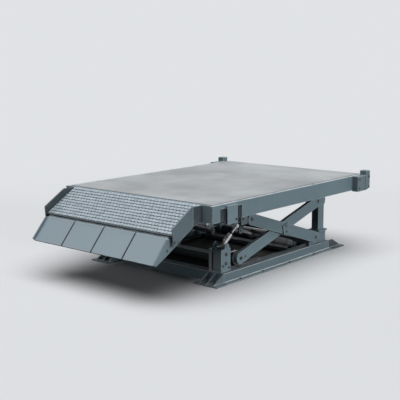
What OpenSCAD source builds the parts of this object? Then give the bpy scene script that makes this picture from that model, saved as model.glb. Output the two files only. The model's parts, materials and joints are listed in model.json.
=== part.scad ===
// Dock leveler: a level steel deck on a scissor frame, with a treaded ramp and a hinged lip.
// Millimetres. X is across the deck, Y runs from the lip to the dock wall, Z is up from the floor.
// Sub-parts are drawn with Y = 0 at the front edge of the deck plate and then centred by placed().

/* [Deck] */
// Width of the deck plate
deck_w = 2000; // [1800:10:2200]
// Length of the deck plate
deck_len = 2778; // [2600:10:3200]
// Height of the deck top above the floor
deck_h = 872; // [860:1:920]
// Thickness of the deck plate
deck_t = 12; // [8:1:16]
// Gap between the deck plate and the rim
rim_gap = 10; // [4:1:16]
// Width of the rim around the deck plate
rim_w = 35; // [25:1:50]
// Height of the rim above the deck frame
rim_h = 8; // [5:1:12]
// Depth of the skirts from the rim down
skirt_d = 168; // [150:1:190]
// Thickness of the skirt and header plates
skirt_t = 10; // [6:1:14]
// Width of the flanges that carry the deck plate
seat_flange_w = 100; // [80:1:130]
// Width of the bottom flanges of skirts and headers
low_flange_w = 60; // [40:1:90]
// Number of ribs under the deck plate
rib_count = 5; // [3:2:7]
// Distance of the outer ribs inside the guide posts
rib_inset = 102; // [60:1:160]
// Depth of the ribs
rib_d = 110; // [80:1:130]
// Thickness of the ribs
rib_t = 12; // [8:1:16]

/* [Front bracket] */
// Distance from the front edge of the deck plate to the bracket
bracket_y = 149; // [140:1:160]
// Length of the bracket along the skirt
bracket_len = 157; // [140:1:170]
// Distance from the front edge of the deck plate to the recess in the skirt
pocket_y = 67; // [67:1:80]
// Length of the recess in the skirt
pocket_len = 339; // [320:1:360]
// Depth of the recess in the skirt
pocket_d = 20; // [10:1:25]
// Distance of the recess from the upper edge of the skirt
pocket_edge = 34; // [26:1:44]
// Stand-out of the bracket from the skirt
bracket_out = 26; // [15:1:40]
// Distance of the bracket's lower end below the skirt
bracket_drop = 32; // [10:1:50]

/* [Rear corner] */
// Stand-out of the rear corner boxes from the skirt
corner_out = 85; // [50:1:110]
// Length of the rear corner boxes
corner_len = 265; // [200:1:300]
// Overhang of the rear corner boxes behind the deck plate
corner_back = 22; // [0:1:40]
// Wall of the rear corner boxes
corner_t = 12; // [8:1:16]
// Step between the corner boxes and the end posts
corner_step = 8; // [4:1:14]
// Length of the end posts
stub_len = 88; // [60:1:100]
// Height of the end posts above the rim
stub_h = 52; // [30:1:70]

/* [Ramp] */
// Slope of the ramp in degrees
ramp_angle = 31; // [24:0.5:36]
// Length of the ramp down its slope
ramp_len = 460; // [400:5:520]
// Thickness of the ramp plate
ramp_t = 10; // [8:1:14]
// Distance of the ramp cheeks inside the edges of the deck plate
ramp_inset = 85; // [60:1:150]
// Thickness of the ramp cheeks
cheek_t = 12; // [8:1:16]
// Height of the cheeks above the tread
cheek_up = 77; // [60:1:84]
// Depth of the cheeks at their front edge
cheek_front_d = 190; // [165:1:210]
// Length of the thinner root between the header and the cheeks
cheek_root = 125; // [90:1:150]
// Number of ribs under the ramp
ramp_rib_count = 5; // [3:2:7]
// Depth of the ramp ribs at the header
ramp_rib_d = 130; // [100:1:145]

/* [Lip] */
// Slope of the lip in degrees at rest
lip_angle = 49; // [44:0.5:54]
// Length of the lip from its hinge axis
lip_len = 305; // [260:1:340]
// Gap between the lip and the ramp cheeks
lip_gap = 32; // [20:1:60]
// Thickness of the lip plate
lip_t = 10; // [8:1:14]
// Number of panels in the face of the lip
lip_panels = 4; // [2:1:6]
// Width of the grooves between the panels
groove_w = 9; // [5:1:12]
// Depth of the grooves between the panels
groove_d = 4; // [2:0.5:5]
// Height of the lip cheeks above the plate
lip_rim_up = 28; // [15:1:35]
// Depth of the lip cheeks behind the plate
lip_cheek_d = 99; // [80:1:105]
// Distance of the deepest point of the lip cheeks from the hinge axis
lip_cheek_at = 54; // [50:1:80]
// Radius of the hinge knuckles
knuckle_r = 11; // [10:0.5:13]
// Radius of the hinge pin
hinge_pin_r = 6; // [5:0.5:8]
// Distance of the hinge axis below the front edge of the ramp
hinge_drop = 22; // [21:0.5:26]
// Length of one hinge knuckle
knuckle_len = 96; // [80:1:98]
// Number of hinge knuckles on the ramp
knuckle_count = 9; // [5:2:9]

/* [Base frame] */
// Distance of the channel webs inside the edges of the deck plate
base_inset = 140; // [120:1:160]
// Height of the side channels
channel_h = 104; // [90:1:120]
// Width of the side channels
channel_w = 130; // [125:1:160]
// Wall of the side channels
channel_t = 10; // [8:1:14]
// Thickness of the floor plates
floor_t = 12; // [10:1:16]
// Width of the floor flange outside the channel web
floor_flange = 54; // [40:1:70]
// Distance from the front edge of the deck plate to the front of the base frame
base_front = 355; // [340:1:360]
// Length of the base frame without its feet
base_len = 1990; // [1985:5:2100]
// Width of the crossbeams along the base
beam_w = 100; // [80:1:120]
// Wall of the crossbeams
beam_t = 8; // [6:1:12]
// Distance from the front edge of the deck plate to the middle crossbeam
mid_beam_y = 960; // [900:10:1200]

/* [Feet] */
// Length of the front feet
front_foot_len = 179; // [150:1:220]
// Width of the front feet
front_foot_w = 307; // [290:1:330]
// Number of gussets on a front foot
front_gussets = 3; // [2:1:3]
// Length of the rear feet
rear_foot_len = 265; // [220:1:300]
// Width of the rear feet
rear_foot_w = 200; // [190:1:230]
// Thickness of the foot gussets
gusset_t = 12; // [8:1:16]
// Level part of the gussets on the rear feet
gusset_top = 80; // [40:1:100]
// Radius of the anchor bolt holes
anchor_r = 11; // [8:0.5:13]
// Distance between the anchor bolt holes of one foot
anchor_pitch = 110; // [80:1:130]
// Distance of the anchor bolt holes from the free edge of a foot
anchor_edge = 90; // [70:1:100]

/* [Front posts] */
// Distance of the front posts inside the channel webs
post_inset = 50; // [45:1:60]
// Width of the front posts across the base
post_w = 160; // [150:1:170]
// Depth of the front posts along the base
post_d = 150; // [145:1:153]
// Height of the front posts above the channel
post_h = 233; // [225:1:240]
// Radius of the lugs on top of the front posts
post_lug_r = 35; // [28:1:40]
// Distance from the front of the base frame to the posts
post_set = 18; // [10:1:18]
// Wall of the front post section
post_t = 12; // [8:1:14]
// Web of the front posts from their front face
post_web_at = 26; // [20:1:28]

/* [Scissor] */
// Rise of the arms from their low ends to their high ends
scissor_rise = 395; // [385:1:405]
// Height of the low pivots
pivot_z = 208.5; // [204:0.5:212]
// Distance from the front edge of the deck plate to the crossing of the arms
cross_y = 1390; // [1385:1:1395]
// Horizontal run of the inner arms
inner_run = 1468; // [1464:1:1474]
// Horizontal run of the outer arms
outer_run = 1222; // [1216:1:1228]
// Depth of the arms
arm_d = 124; // [110:1:126]
// Thickness of the arms
arm_t = 40; // [30:1:44]
// Distance of the inner arms inside the channel webs
arm_inset = 60; // [57:1:63]
// Clipped corners at the square ends of the arms
arm_clip = 22; // [10:1:30]
// Length of the inner arms past their high pivots
arm_tail = 150; // [100:1:160]
// Side of the keeper plates over the crossing pins
keeper_w = 112; // [90:1:120]
// Clearance between the two arms
arm_gap = 10; // [6:1:12]
// Radius of the arm pivot pins
pivot_r = 20; // [16:0.5:24]
// Running clearance of the pins in their bores
pin_clear = 0.05; // [0.02:0.01:0.1]
// Radius of the torque tube at the crossing
torque_r = 45; // [36:1:48]
// Play of the crossing pin in the outer arms
cross_play = 7; // [6:0.5:9]
// Radius of the base rollers
base_roller_r = 80; // [70:1:82]
// Radius of the deck rollers
deck_roller_r = 60; // [50:1:64]
// Length of the deck rails beyond the rollers
rail_room = 60; // [50:1:90]
// Width of the rollers
roller_w = 54; // [44:1:56]
// Gap of the rollers to their tracks and to the arms
roller_gap = 0.3; // [0.2:0.1:0.5]
// Radius of the tie tube between the outer arms
tie_r = 35; // [28:1:40]
// Distance of the tie tube from the high pivot along the arm's run
tie_at = 151; // [140:1:170]

/* [Guide posts] */
// Width of the guide posts across the deck
guide_w = 88; // [80:1:90]
// Depth of the guide posts along the deck
guide_d = 120; // [110:1:124]
// Distance of the guide posts inside the channel webs
guide_inset = 70; // [67:1:75]
// Wall of the guide posts
guide_t = 8; // [6:1:10]
// Thickness of the pads behind the heads of the guide posts
guide_pad = 24; // [12:1:30]
// Sliding clearance of the guide posts in their sleeves
guide_clear = 0.5; // [0.3:0.1:0.8]
// Wall of the guide sleeves across the base
sleeve_wall = 17.5; // [12:0.5:18]
// Wall of the guide sleeves along the base
sleeve_wall_y = 14.5; // [12:0.5:18]
// Height of the guide sleeves above the floor
sleeve_h = 225; // [218:1:240]
// Stand-out of the sleeve collars
collar_out = 14; // [8:1:20]
// Thickness of the sleeve collars
collar_t = 18; // [12:1:20]
// Downward travel of the deck
travel_down = 120; // [100:1:130]
// Gap between the guide posts and the floor plates at the lowest deck
guide_floor_gap = 6; // [5:1:10]

/* [Lift cylinders] */
// Distance of the lift cylinders inside the side channels
lift_inset = 110; // [90:1:140]
// Radius of the lift barrels
lift_barrel_r = 42; // [36:1:46]
// Radius of the lift rods
lift_rod_r = 24; // [20:1:28]
// Length of the lift barrels
lift_barrel_len = 840; // [800:5:860]
// Distance of the lift cylinders below the outer arms
lift_drop = 125; // [120:1:130]
// Height of the lower pivots of the lift cylinders
lift_pivot_z = 100; // [95:1:110]
// Radius of the lift cylinder eyes
lift_eye_r = 34; // [30:1:38]
// Radius of the lift cylinder pins
lift_pin_r = 14; // [12:0.5:16]
// Width of the lift cylinder eyes
lift_eye_w = 50; // [40:1:56]
// Thickness of the lift cylinder lugs
lift_lug_t = 16; // [12:1:20]
// Play of the upper lift pins in the rod eyes
lift_play = 2; // [1.5:0.1:3]
// Length of the lift rods inside their barrels
lift_engaged = 210; // [180:5:240]

/* [Front cylinders] */
// Distance of the front cylinders inside the outer faces of the front posts
front_inset = 62; // [58:1:66]
// Foot pivot of the front cylinders from the front edge of the deck plate
front_foot_y = 468; // [462:1:474]
// Height of the foot pivot of the front cylinders
front_foot_z = 358; // [352:1:362]
// Head of the front cylinders from the front edge of the deck plate
front_head_y = 697; // [690:1:705]
// Height of the head of the front cylinders
front_head_z = 532; // [528:1:536]
// Radius of the front barrels
front_barrel_r = 24; // [20:1:26]
// Radius of the front rods
front_rod_r = 14; // [11:1:16]
// Length of the front barrels
front_barrel_len = 178; // [174:1:182]
// Length of the front rods inside their barrels
front_engaged = 70; // [66:1:76]
// Radius of the front cylinder heads
front_head_r = 21; // [18:1:22]
// Width of the front cylinder eyes
front_eye_w = 40; // [34:1:44]
// Radius of the front cylinder pins
front_pin_r = 9; // [8:0.5:11]
// Gap between the heads and the saddles
saddle_gap = 12; // [10:0.5:14]
// Height of the saddle legs above the heads' axis
saddle_leg = 20; // [18:1:24]
// Thickness of the saddle legs
saddle_wall = 14; // [10:1:16]
// Side room of the heads in the saddles
saddle_room = 32; // [30:1:36]
// Width of the saddles
saddle_w = 56; // [50:1:58]

/* [Hidden] */
$fn = 48;
// Overlap of cutting shapes beyond the faces that they cut
cut = 1;
// Sliding clearance of the rods in their barrels
rod_clear = 0.3;
steel_blue = [0.40, 0.45, 0.48];
steel_dark = [0.17, 0.19, 0.20];
deck_grey = [0.68, 0.69, 0.69];
tread_grey = [0.58, 0.61, 0.63];
lip_grey = [0.54, 0.60, 0.63];
chrome = [0.80, 0.81, 0.82];

// Deck frame
frame_top = deck_h - deck_t;
rim_top = frame_top + rim_h;
skirt_low = rim_top - skirt_d;
skirt_x = deck_w / 2 + rim_gap + rim_w;
front_y = -(rim_gap + rim_w);
corner_rear = deck_len + corner_back;

// Ramp, from its top edge behind the front header to its front edge
ramp_front_y = front_y - ramp_len * cos(ramp_angle);
ramp_front_z = rim_top - ramp_len * sin(ramp_angle);
cheek_in = deck_w / 2 - ramp_inset - cheek_t;
cheek_rise = cheek_up / cos(ramp_angle);
cheek_rear_y = front_y - cheek_root;
cheek_top_y = front_y - cheek_rise / tan(ramp_angle);
function ramp_z(y) = rim_top + (y - front_y) * tan(ramp_angle);
function ramp_under(y) = ramp_z(y) - ramp_t / cos(ramp_angle);

// Lip hinge
hinge_y = ramp_front_y;
hinge_z = ramp_front_z - hinge_drop;
lip_w = 2 * (cheek_in - lip_gap);
lip_root = knuckle_r + 3;
hinge_bar_y = hinge_y + knuckle_r + 8;
hinge_bar_t = 12;
hinge_bar_w = lip_w - 40;
knuckle_pitch = (knuckle_count - 1) > 0 ? (hinge_bar_w - knuckle_len) / (knuckle_count - 1) : hinge_bar_w;
knuckle_gap = 3;
lip_knuckle_len = knuckle_pitch - knuckle_len - 2 * knuckle_gap;

// Overall box, centred along Y
lip_tip_y = hinge_y - lip_len * cos(lip_angle) - (lip_t + lip_rim_up) * sin(lip_angle);
y_mid = (lip_tip_y + corner_rear) / 2;

// Base frame
base_x = deck_w / 2 - base_inset;
channel_in = base_x - channel_w;
base_rear = base_front + base_len;
foot_x = base_x + floor_flange;

// Scissor pivots
high_z = pivot_z + scissor_rise;
inner_low_y = cross_y - inner_run / 2;
inner_high_y = cross_y + inner_run / 2;
outer_high_y = cross_y - outer_run / 2;
outer_low_y = cross_y + outer_run / 2;
cross_z = pivot_z + scissor_rise / 2;
inner_len = norm([inner_run, scissor_rise]);
outer_len = norm([outer_run, scissor_rise]);
inner_angle = atan2(scissor_rise, inner_run);
outer_angle = atan2(scissor_rise, outer_run);
arm_x = base_x - arm_inset;
outer_x = arm_x + arm_t + arm_gap;
outer_face = outer_x + arm_t;
pin_head = 10;
pin_end = 4;
bore_r = pivot_r + pin_clear;
stub_end = outer_face + pin_end;
track_top = pivot_z - base_roller_r - roller_gap;
rail_low = high_z + deck_roller_r + roller_gap;

// Guide posts
guide_face_x = base_x - guide_inset;
guide_in_x = guide_face_x - guide_w;
guide_y = base_rear - sleeve_wall_y - guide_clear - guide_d;
rib_span = 2 * (guide_in_x - rib_inset);
guide_low = floor_t + travel_down + guide_floor_gap;
sleeve_x0 = guide_in_x - guide_clear - sleeve_wall;
sleeve_x1 = guide_face_x + guide_clear + sleeve_wall;
sleeve_y0 = guide_y - guide_clear - sleeve_wall_y;
sleeve_y1 = guide_y + guide_d + guide_clear + sleeve_wall_y;

// Lift cylinders, parallel to the outer arms
tie_y = outer_high_y + tie_at;
tie_z = high_z - tie_at * tan(outer_angle);
lift_top_y = tie_y - lift_drop * sin(outer_angle);
lift_top_z = tie_z - lift_drop * cos(outer_angle);
lift_len = (lift_top_z - lift_pivot_z) / sin(outer_angle);
lift_low_y = lift_top_y + lift_len * cos(outer_angle);
lift_x = channel_in - lift_inset;
lift_beam_h = lift_pivot_z - lift_eye_r - 14;
lift_rod_from = lift_barrel_len - lift_engaged;
lift_room = 40;

// Front cylinders
post_face_x = base_x - post_inset;
front_x = post_face_x - front_inset;
front_len = norm([front_head_y - front_foot_y, front_head_z - front_foot_z]);
front_angle = atan2(front_head_z - front_foot_z, front_head_y - front_foot_y);
saddle_crown = front_head_z + front_head_r + saddle_gap;

// Helpers

// Shifts a sub-part so that the whole object is centred along Y
module placed() {
    translate([0, -y_mid, 0]) children();
}

// Draws a right-hand shape, or its mirror image on the left for side = -1
module on_side(side) {
    mirror([side < 0 ? 1 : 0, 0, 0]) children();
}

// Draws a right-hand shape on both sides
module both_sides() {
    for (side = [-1, 1]) on_side(side) children();
}

// Extrudes a profile in Y and Z across the object, from x0 over the width w
module across(x0, w) {
    translate([x0, 0, 0]) rotate([90, 0, 90]) linear_extrude(w) children();
}

// Extrudes a profile in X and Z along the object, from y0 over the length len
module along(y0, len) {
    translate([0, y0 + len, 0]) rotate([90, 0, 0]) linear_extrude(len) children();
}

// A box from its two corners
module box(low, high) {
    translate(low) cube(high - low);
}

// A round bar along X
module bar_x(x0, w, y, z, r) {
    translate([x0, y, z]) rotate([0, 90, 0]) cylinder(r = r, h = w);
}

// Deck

module deck_plate() {
    color(deck_grey) placed()
        box([-deck_w / 2, 0, frame_top], [deck_w / 2, deck_len, deck_h]);
}

module skirt(side) {
    pocket_x = skirt_x - pocket_d;
    pocket_top = frame_top - pocket_edge;
    pocket_end = pocket_y + pocket_len;
    color(steel_blue) placed() on_side(side) difference() {
        union() {
            along(front_y, deck_len - front_y) polygon([
                [skirt_x, skirt_low], [skirt_x, rim_top], [skirt_x - rim_w, rim_top],
                [skirt_x - rim_w, frame_top], [skirt_x - skirt_t, frame_top], [skirt_x - skirt_t, skirt_low]
            ]);
            along(front_y + seat_flange_w, deck_len - 2 * seat_flange_w - front_y) {
                translate([skirt_x - seat_flange_w, frame_top - skirt_t])
                    square([seat_flange_w - skirt_t / 2, skirt_t]);
                translate([skirt_x - low_flange_w, skirt_low])
                    square([low_flange_w - skirt_t / 2, skirt_t]);
            }
            box([pocket_x - skirt_t, pocket_y - skirt_t, skirt_low],
                [skirt_x - skirt_t / 2, pocket_end + skirt_t, pocket_top + skirt_t]);
        }
        box([pocket_x, pocket_y, skirt_low - cut], [skirt_x + cut, pocket_end, pocket_top]);
    }
}

module front_header() {
    web_x = skirt_x - skirt_t;
    color(steel_dark) placed() union() {
        across(-web_x, 2 * web_x) polygon([
            [front_y, skirt_low], [front_y + low_flange_w, skirt_low],
            [front_y + low_flange_w, skirt_low + skirt_t], [front_y + skirt_t, skirt_low + skirt_t],
            [front_y + skirt_t, frame_top - skirt_t], [front_y + seat_flange_w, frame_top - skirt_t],
            [front_y + seat_flange_w, frame_top], [front_y, frame_top]
        ]);
        box([-(skirt_x - rim_w), front_y, frame_top - skirt_t / 2],
            [skirt_x - rim_w, front_y + rim_w, rim_top]);
    }
}

module rear_header() {
    web_x = skirt_x - skirt_t;
    color(steel_blue) placed()
        across(-web_x, 2 * web_x) polygon([
            [deck_len, skirt_low], [deck_len - low_flange_w, skirt_low],
            [deck_len - low_flange_w, skirt_low + skirt_t], [deck_len - skirt_t, skirt_low + skirt_t],
            [deck_len - skirt_t, frame_top - skirt_t], [deck_len - seat_flange_w, frame_top - skirt_t],
            [deck_len - seat_flange_w, frame_top], [deck_len, frame_top]
        ]);
}

module deck_ribs() {
    pitch = rib_span / (rib_count - 1);
    rib_front = front_y + seat_flange_w;
    rib_rear = deck_len - seat_flange_w;
    color(steel_dark) placed()
        for (i = [0 : rib_count - 1])
            box([i * pitch - rib_span / 2 - rib_t / 2, rib_front, frame_top - rib_d],
                [i * pitch - rib_span / 2 + rib_t / 2, rib_rear, frame_top]);
}

// Blocks in the recesses of the skirts
module front_brackets() {
    low = skirt_low - bracket_drop;
    y1 = bracket_y + bracket_len;
    color(steel_blue) placed() both_sides() union() {
        box([skirt_x - pocket_d, bracket_y, low], [skirt_x + cut, y1, frame_top - pocket_edge]);
        box([skirt_x, bracket_y, low], [skirt_x + bracket_out, y1, frame_top - skirt_t]);
    }
}

// A box outside the skirt and the end post behind it
module rear_corner(side) {
    x1 = skirt_x + corner_out;
    box_x = x1 - corner_step;
    y0 = corner_rear - corner_len;
    y1 = corner_rear - stub_len;
    low = skirt_low - skirt_t;
    color(steel_blue) placed() on_side(side) union() {
        difference() {
            box([skirt_x, y0, low], [box_x, y1 + cut, rim_top]);
            box([skirt_x - cut, y0 + corner_t, low - cut], [box_x - corner_t, y1, rim_top - corner_t]);
        }
        across(skirt_x, corner_out) polygon([
            [y1, low], [corner_rear, low + stub_len / 4],
            [corner_rear, rim_top + stub_h], [y1, rim_top + stub_h]
        ]);
    }
}

module guide_post(side) {
    head_out = 24;
    head_t = 14;
    y1 = guide_y + guide_d;
    color(steel_blue) placed() on_side(side) difference() {
        union() {
            box([guide_in_x, guide_y, guide_low], [guide_face_x, y1, frame_top]);
            box([guide_in_x, y1 - cut, high_z - arm_d / 2], [guide_face_x, y1 + guide_pad, frame_top]);
            box([guide_in_x - head_out, guide_y - head_out, frame_top - head_t],
                [guide_face_x + head_out, y1 + head_out, frame_top]);
        }
        box([guide_in_x + guide_t, guide_y + guide_t, guide_low - cut],
            [guide_face_x - guide_t, y1 - guide_t, frame_top - head_t]);
    }
}

// Lugs in front of the guide posts that carry the high ends of the inner arms
module arm_lugs() {
    lug_in = guide_in_x + guide_t;
    lug_out = arm_x - arm_gap / 2;
    color(steel_blue) placed() both_sides() union() {
        across(lug_in, lug_out - lug_in) {
            translate([inner_high_y, high_z]) circle(r = arm_d / 2);
            translate([inner_high_y, high_z - arm_d / 2])
                square([guide_y - inner_high_y, arm_d]);
        }
        bar_x(lug_out - cut, arm_x + arm_t + pin_end - lug_out + cut, inner_high_y, high_z, pivot_r);
    }
}

// Rails under the deck that the rollers of the outer arms run against
module deck_rails() {
    rail_t = 12;
    rail_x0 = outer_x - arm_gap / 2 - roller_w;
    rail_x1 = outer_x - arm_gap / 2;
    rail_y0 = outer_high_y - deck_roller_r - rail_room;
    rail_y1 = outer_high_y + deck_roller_r + rail_room;
    stop_low = high_z - deck_roller_r / 4;
    web_x = (rail_x0 + rail_x1) / 2;
    color(steel_dark) placed() both_sides() union() {
        box([rail_x0, rail_y0, rail_low], [rail_x1, rail_y1, rail_low + rail_t]);
        box([web_x - rail_t / 2, rail_y0, rail_low], [web_x + rail_t / 2, rail_y1, frame_top]);
        box([rail_x0, rail_y0 - rail_t, stop_low], [rail_x1, rail_y0, frame_top - rib_d]);
    }
}

// Arched saddles under the deck over the heads of the front cylinders
module cylinder_saddles() {
    half = front_head_r + saddle_room;
    foot_low = front_head_z + saddle_leg;
    arch_z = saddle_crown - half;
    color(steel_blue) placed() both_sides()
        across(front_x - saddle_w / 2, saddle_w) difference() {
            translate([front_head_y - half - saddle_wall, foot_low])
                square([2 * (half + saddle_wall), frame_top - foot_low]);
            translate([front_head_y, arch_z]) circle(r = half);
        }
}

// Ramp

module ramp_plate() {
    color(tread_grey) placed()
        across(-cheek_in, 2 * cheek_in) polygon([
            [front_y, rim_top], [ramp_front_y, ramp_front_z],
            [ramp_front_y + ramp_t * sin(ramp_angle), ramp_front_z - ramp_t * cos(ramp_angle)],
            [front_y, ramp_under(front_y)]
        ]);
}

module ramp_cheek(side) {
    nose_y = ramp_front_y - cheek_up * sin(ramp_angle) / 2;
    nose_z = ramp_z(nose_y) + cheek_rise;
    low_rear_z = nose_z - cheek_front_d + (cheek_rear_y - nose_y) * tan(ramp_angle - 2);
    color(steel_blue) placed() on_side(side) union() {
        across(cheek_in, cheek_t) polygon([
            [cheek_rear_y, rim_top], [min(cheek_top_y, cheek_rear_y - cut), rim_top], [nose_y, nose_z],
            [nose_y + cheek_t, nose_z - cheek_front_d], [cheek_rear_y, low_rear_z]
        ]);
        across(cheek_in, cheek_t / 2) polygon([
            [front_y, skirt_low], [front_y, rim_top], [cheek_rear_y - cut, rim_top],
            [cheek_rear_y - cut, low_rear_z]
        ]);
    }
}

// Ribs under the ramp, the bar at its front edge and the ramp's half of the hinge knuckles
module ramp_frame() {
    bar_rear = hinge_bar_y + hinge_bar_t;
    bar_low = hinge_z - 2 * knuckle_r;
    rib_w = hinge_bar_w - rib_t;
    rib_pitch = rib_w / (ramp_rib_count - 1);
    color(steel_dark) placed() difference() {
        union() {
            across(-hinge_bar_w / 2, hinge_bar_w) polygon([
                [hinge_bar_y, ramp_under(hinge_bar_y)], [bar_rear, ramp_under(bar_rear)],
                [bar_rear, bar_low], [hinge_bar_y, bar_low]
            ]);
            for (i = [0 : ramp_rib_count - 1])
                across(i * rib_pitch - rib_w / 2 - rib_t / 2, rib_t) polygon([
                    [front_y, ramp_under(front_y)], [bar_rear - cut, ramp_under(bar_rear - cut)],
                    [bar_rear - cut, bar_low], [front_y, ramp_under(front_y) - ramp_rib_d]
                ]);
            for (i = [0 : knuckle_count - 1])
                translate([i * knuckle_pitch - hinge_bar_w / 2, 0, 0]) {
                    bar_x(0, knuckle_len, hinge_y, hinge_z, knuckle_r);
                    box([0, hinge_y, hinge_z - knuckle_r], [knuckle_len, hinge_bar_y + cut, hinge_z]);
                }
        }
        bar_x(-hinge_bar_w / 2 - cut, hinge_bar_w + 2 * cut, hinge_y, hinge_z, hinge_pin_r);
    }
}

module hinge_pin() {
    color(chrome) placed()
        bar_x(-hinge_bar_w / 2 - pin_head, hinge_bar_w + 2 * pin_head, hinge_y, hinge_z, hinge_pin_r);
}

// Lip

// Places a shape drawn on the level lip, with the hinge axis at Y = 0 and Z = 0, at the rest slope
module lip_frame() {
    placed() translate([0, hinge_y, hinge_z]) rotate([lip_angle, 0, 0]) children();
}

module lip_plate() {
    panel_w = lip_w / lip_panels;
    half = lip_w / 2 - cheek_t;
    color(lip_grey) lip_frame() difference() {
        box([-half, -lip_len, 0], [half, -lip_root, lip_t]);
        for (i = [1 : lip_panels - 1])
            box([i * panel_w - lip_w / 2 - groove_w / 2, -lip_len - cut, lip_t - groove_d],
                [i * panel_w - lip_w / 2 + groove_w / 2, -lip_root + cut, lip_t + cut]);
    }
}

// The lip's half of the hinge knuckles
module lip_knuckles() {
    color(steel_dark) lip_frame() difference() {
        for (i = [0 : knuckle_count - 2])
            translate([i * knuckle_pitch - hinge_bar_w / 2 + knuckle_len + knuckle_gap, 0, 0]) {
                bar_x(0, lip_knuckle_len, 0, 0, knuckle_r);
                box([0, -lip_root, 0], [lip_knuckle_len, 0, knuckle_r]);
            }
        bar_x(-hinge_bar_w / 2, hinge_bar_w, 0, 0, hinge_pin_r + pin_clear);
    }
}

// Side plates that stand above the lip's face and brace it from behind
module lip_cheeks() {
    color(lip_grey) lip_frame() both_sides()
        across(lip_w / 2 - cheek_t, cheek_t) polygon([
            [-lip_root, 0], [-lip_root, lip_t], [-lip_root - lip_rim_up, lip_t + lip_rim_up],
            [-lip_len, lip_t + lip_rim_up], [-lip_len, 0], [-lip_cheek_at, -lip_cheek_d]
        ]);
}

// Stiffeners behind the joints of the lip panels
module lip_ribs() {
    panel_w = lip_w / lip_panels;
    rib_low = 0.6 * lip_cheek_d;
    color(steel_dark) lip_frame()
        for (i = [1 : lip_panels - 1])
            across(i * panel_w - lip_w / 2 - rib_t / 2, rib_t) polygon([
                [-lip_cheek_at, 0], [-lip_len + lip_cheek_at, 0], [-lip_cheek_at - rib_t, -rib_low]
            ]);
}

// Base

module side_channel(side) {
    low = floor_t;
    color(steel_blue) placed() on_side(side) difference() {
        union() {
            along(base_front, base_len) polygon([
                [foot_x, 0], [foot_x, low], [base_x, low], [base_x, channel_h], [channel_in, channel_h],
                [channel_in, channel_h - channel_t], [base_x - channel_t, channel_h - channel_t],
                [base_x - channel_t, low], [channel_in, low], [channel_in, 0]
            ]);
            box([channel_in, base_front, low], [base_x, base_front + channel_t, channel_h]);
        }
        box([channel_in - cut, sleeve_y0, low], [sleeve_x1, base_rear + cut, channel_h + cut]);
    }
}

// A hollow crossbeam between the side channels
module crossbeam(y, x, h) {
    color(steel_blue) placed() difference() {
        box([-x, y, 0], [x, y + beam_w, h]);
        box([-x - cut, y + beam_t, beam_t], [x + cut, y + beam_w - beam_t, h - beam_t]);
    }
}

module front_crossbeam() {
    crossbeam(base_front, channel_in, channel_h);
}

module mid_crossbeam() {
    crossbeam(mid_beam_y, channel_in, channel_h);
}

module rear_crossbeam() {
    crossbeam(base_rear - beam_w, sleeve_x0, channel_h);
}

// Low crossbeam with the lugs and pins that carry the lift cylinders
module cylinder_beam() {
    lug_gap = 1;
    lug_in = lift_eye_w / 2 + lug_gap;
    color(steel_blue) placed() union() {
        box([-channel_in, lift_low_y - beam_w / 2, 0], [channel_in, lift_low_y + beam_w / 2, lift_beam_h]);
        both_sides() {
            for (x = [lift_x - lug_in - lift_lug_t, lift_x + lug_in])
                across(x, lift_lug_t) {
                    translate([lift_low_y, lift_pivot_z]) circle(r = lift_eye_r);
                    translate([lift_low_y - lift_eye_r, lift_beam_h - cut])
                        square([2 * lift_eye_r, lift_pivot_z - lift_beam_h + cut]);
                }
            bar_x(lift_x - lug_in - lift_lug_t - pin_head, 2 * (lug_in + lift_lug_t + pin_head),
                lift_low_y, lift_pivot_z, lift_pin_r);
        }
    }
}

// A triangular gusset that falls from the end of the base frame to a foot plate
module gusset(x, y_high, y_low) {
    across(x, gusset_t) polygon([
        [y_high, floor_t - cut], [y_high, channel_h], [y_low, floor_t], [y_low, floor_t - cut]
    ]);
}

module front_foot(side) {
    x0 = foot_x - front_foot_w;
    y0 = base_front - front_foot_len;
    pitch = (front_foot_w - 2 * floor_flange - gusset_t) / (front_gussets - 1);
    mid_x = foot_x - front_foot_w / 2;
    color(steel_blue) placed() on_side(side) difference() {
        union() {
            box([x0, y0, 0], [foot_x, base_front, floor_t]);
            for (i = [0 : front_gussets - 1])
                gusset(x0 + floor_flange + i * pitch, base_front, y0 + gusset_t);
        }
        for (x = [mid_x - anchor_pitch / 2, mid_x + anchor_pitch / 2])
            translate([x, y0 + anchor_edge, -cut]) cylinder(r = anchor_r, h = floor_t + 2 * cut);
    }
}

module rear_foot(side) {
    x0 = foot_x - rear_foot_w;
    y1 = base_rear + rear_foot_len;
    mid_x = base_x - gusset_t / 2 - anchor_pitch / 2;
    color(steel_blue) placed() on_side(side) difference() {
        union() {
            box([x0, base_rear, 0], [foot_x, y1, floor_t]);
            across(base_x - gusset_t, gusset_t) polygon([
                [base_rear, floor_t - cut], [base_rear, channel_h], [base_rear + gusset_top, channel_h],
                [y1 - gusset_t, floor_t], [y1 - gusset_t, floor_t - cut]
            ]);
        }
        for (y = [y1 - anchor_edge, y1 - anchor_edge - anchor_pitch])
            translate([mid_x, y, -cut]) cylinder(r = anchor_r, h = floor_t + 2 * cut);
    }
}

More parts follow.
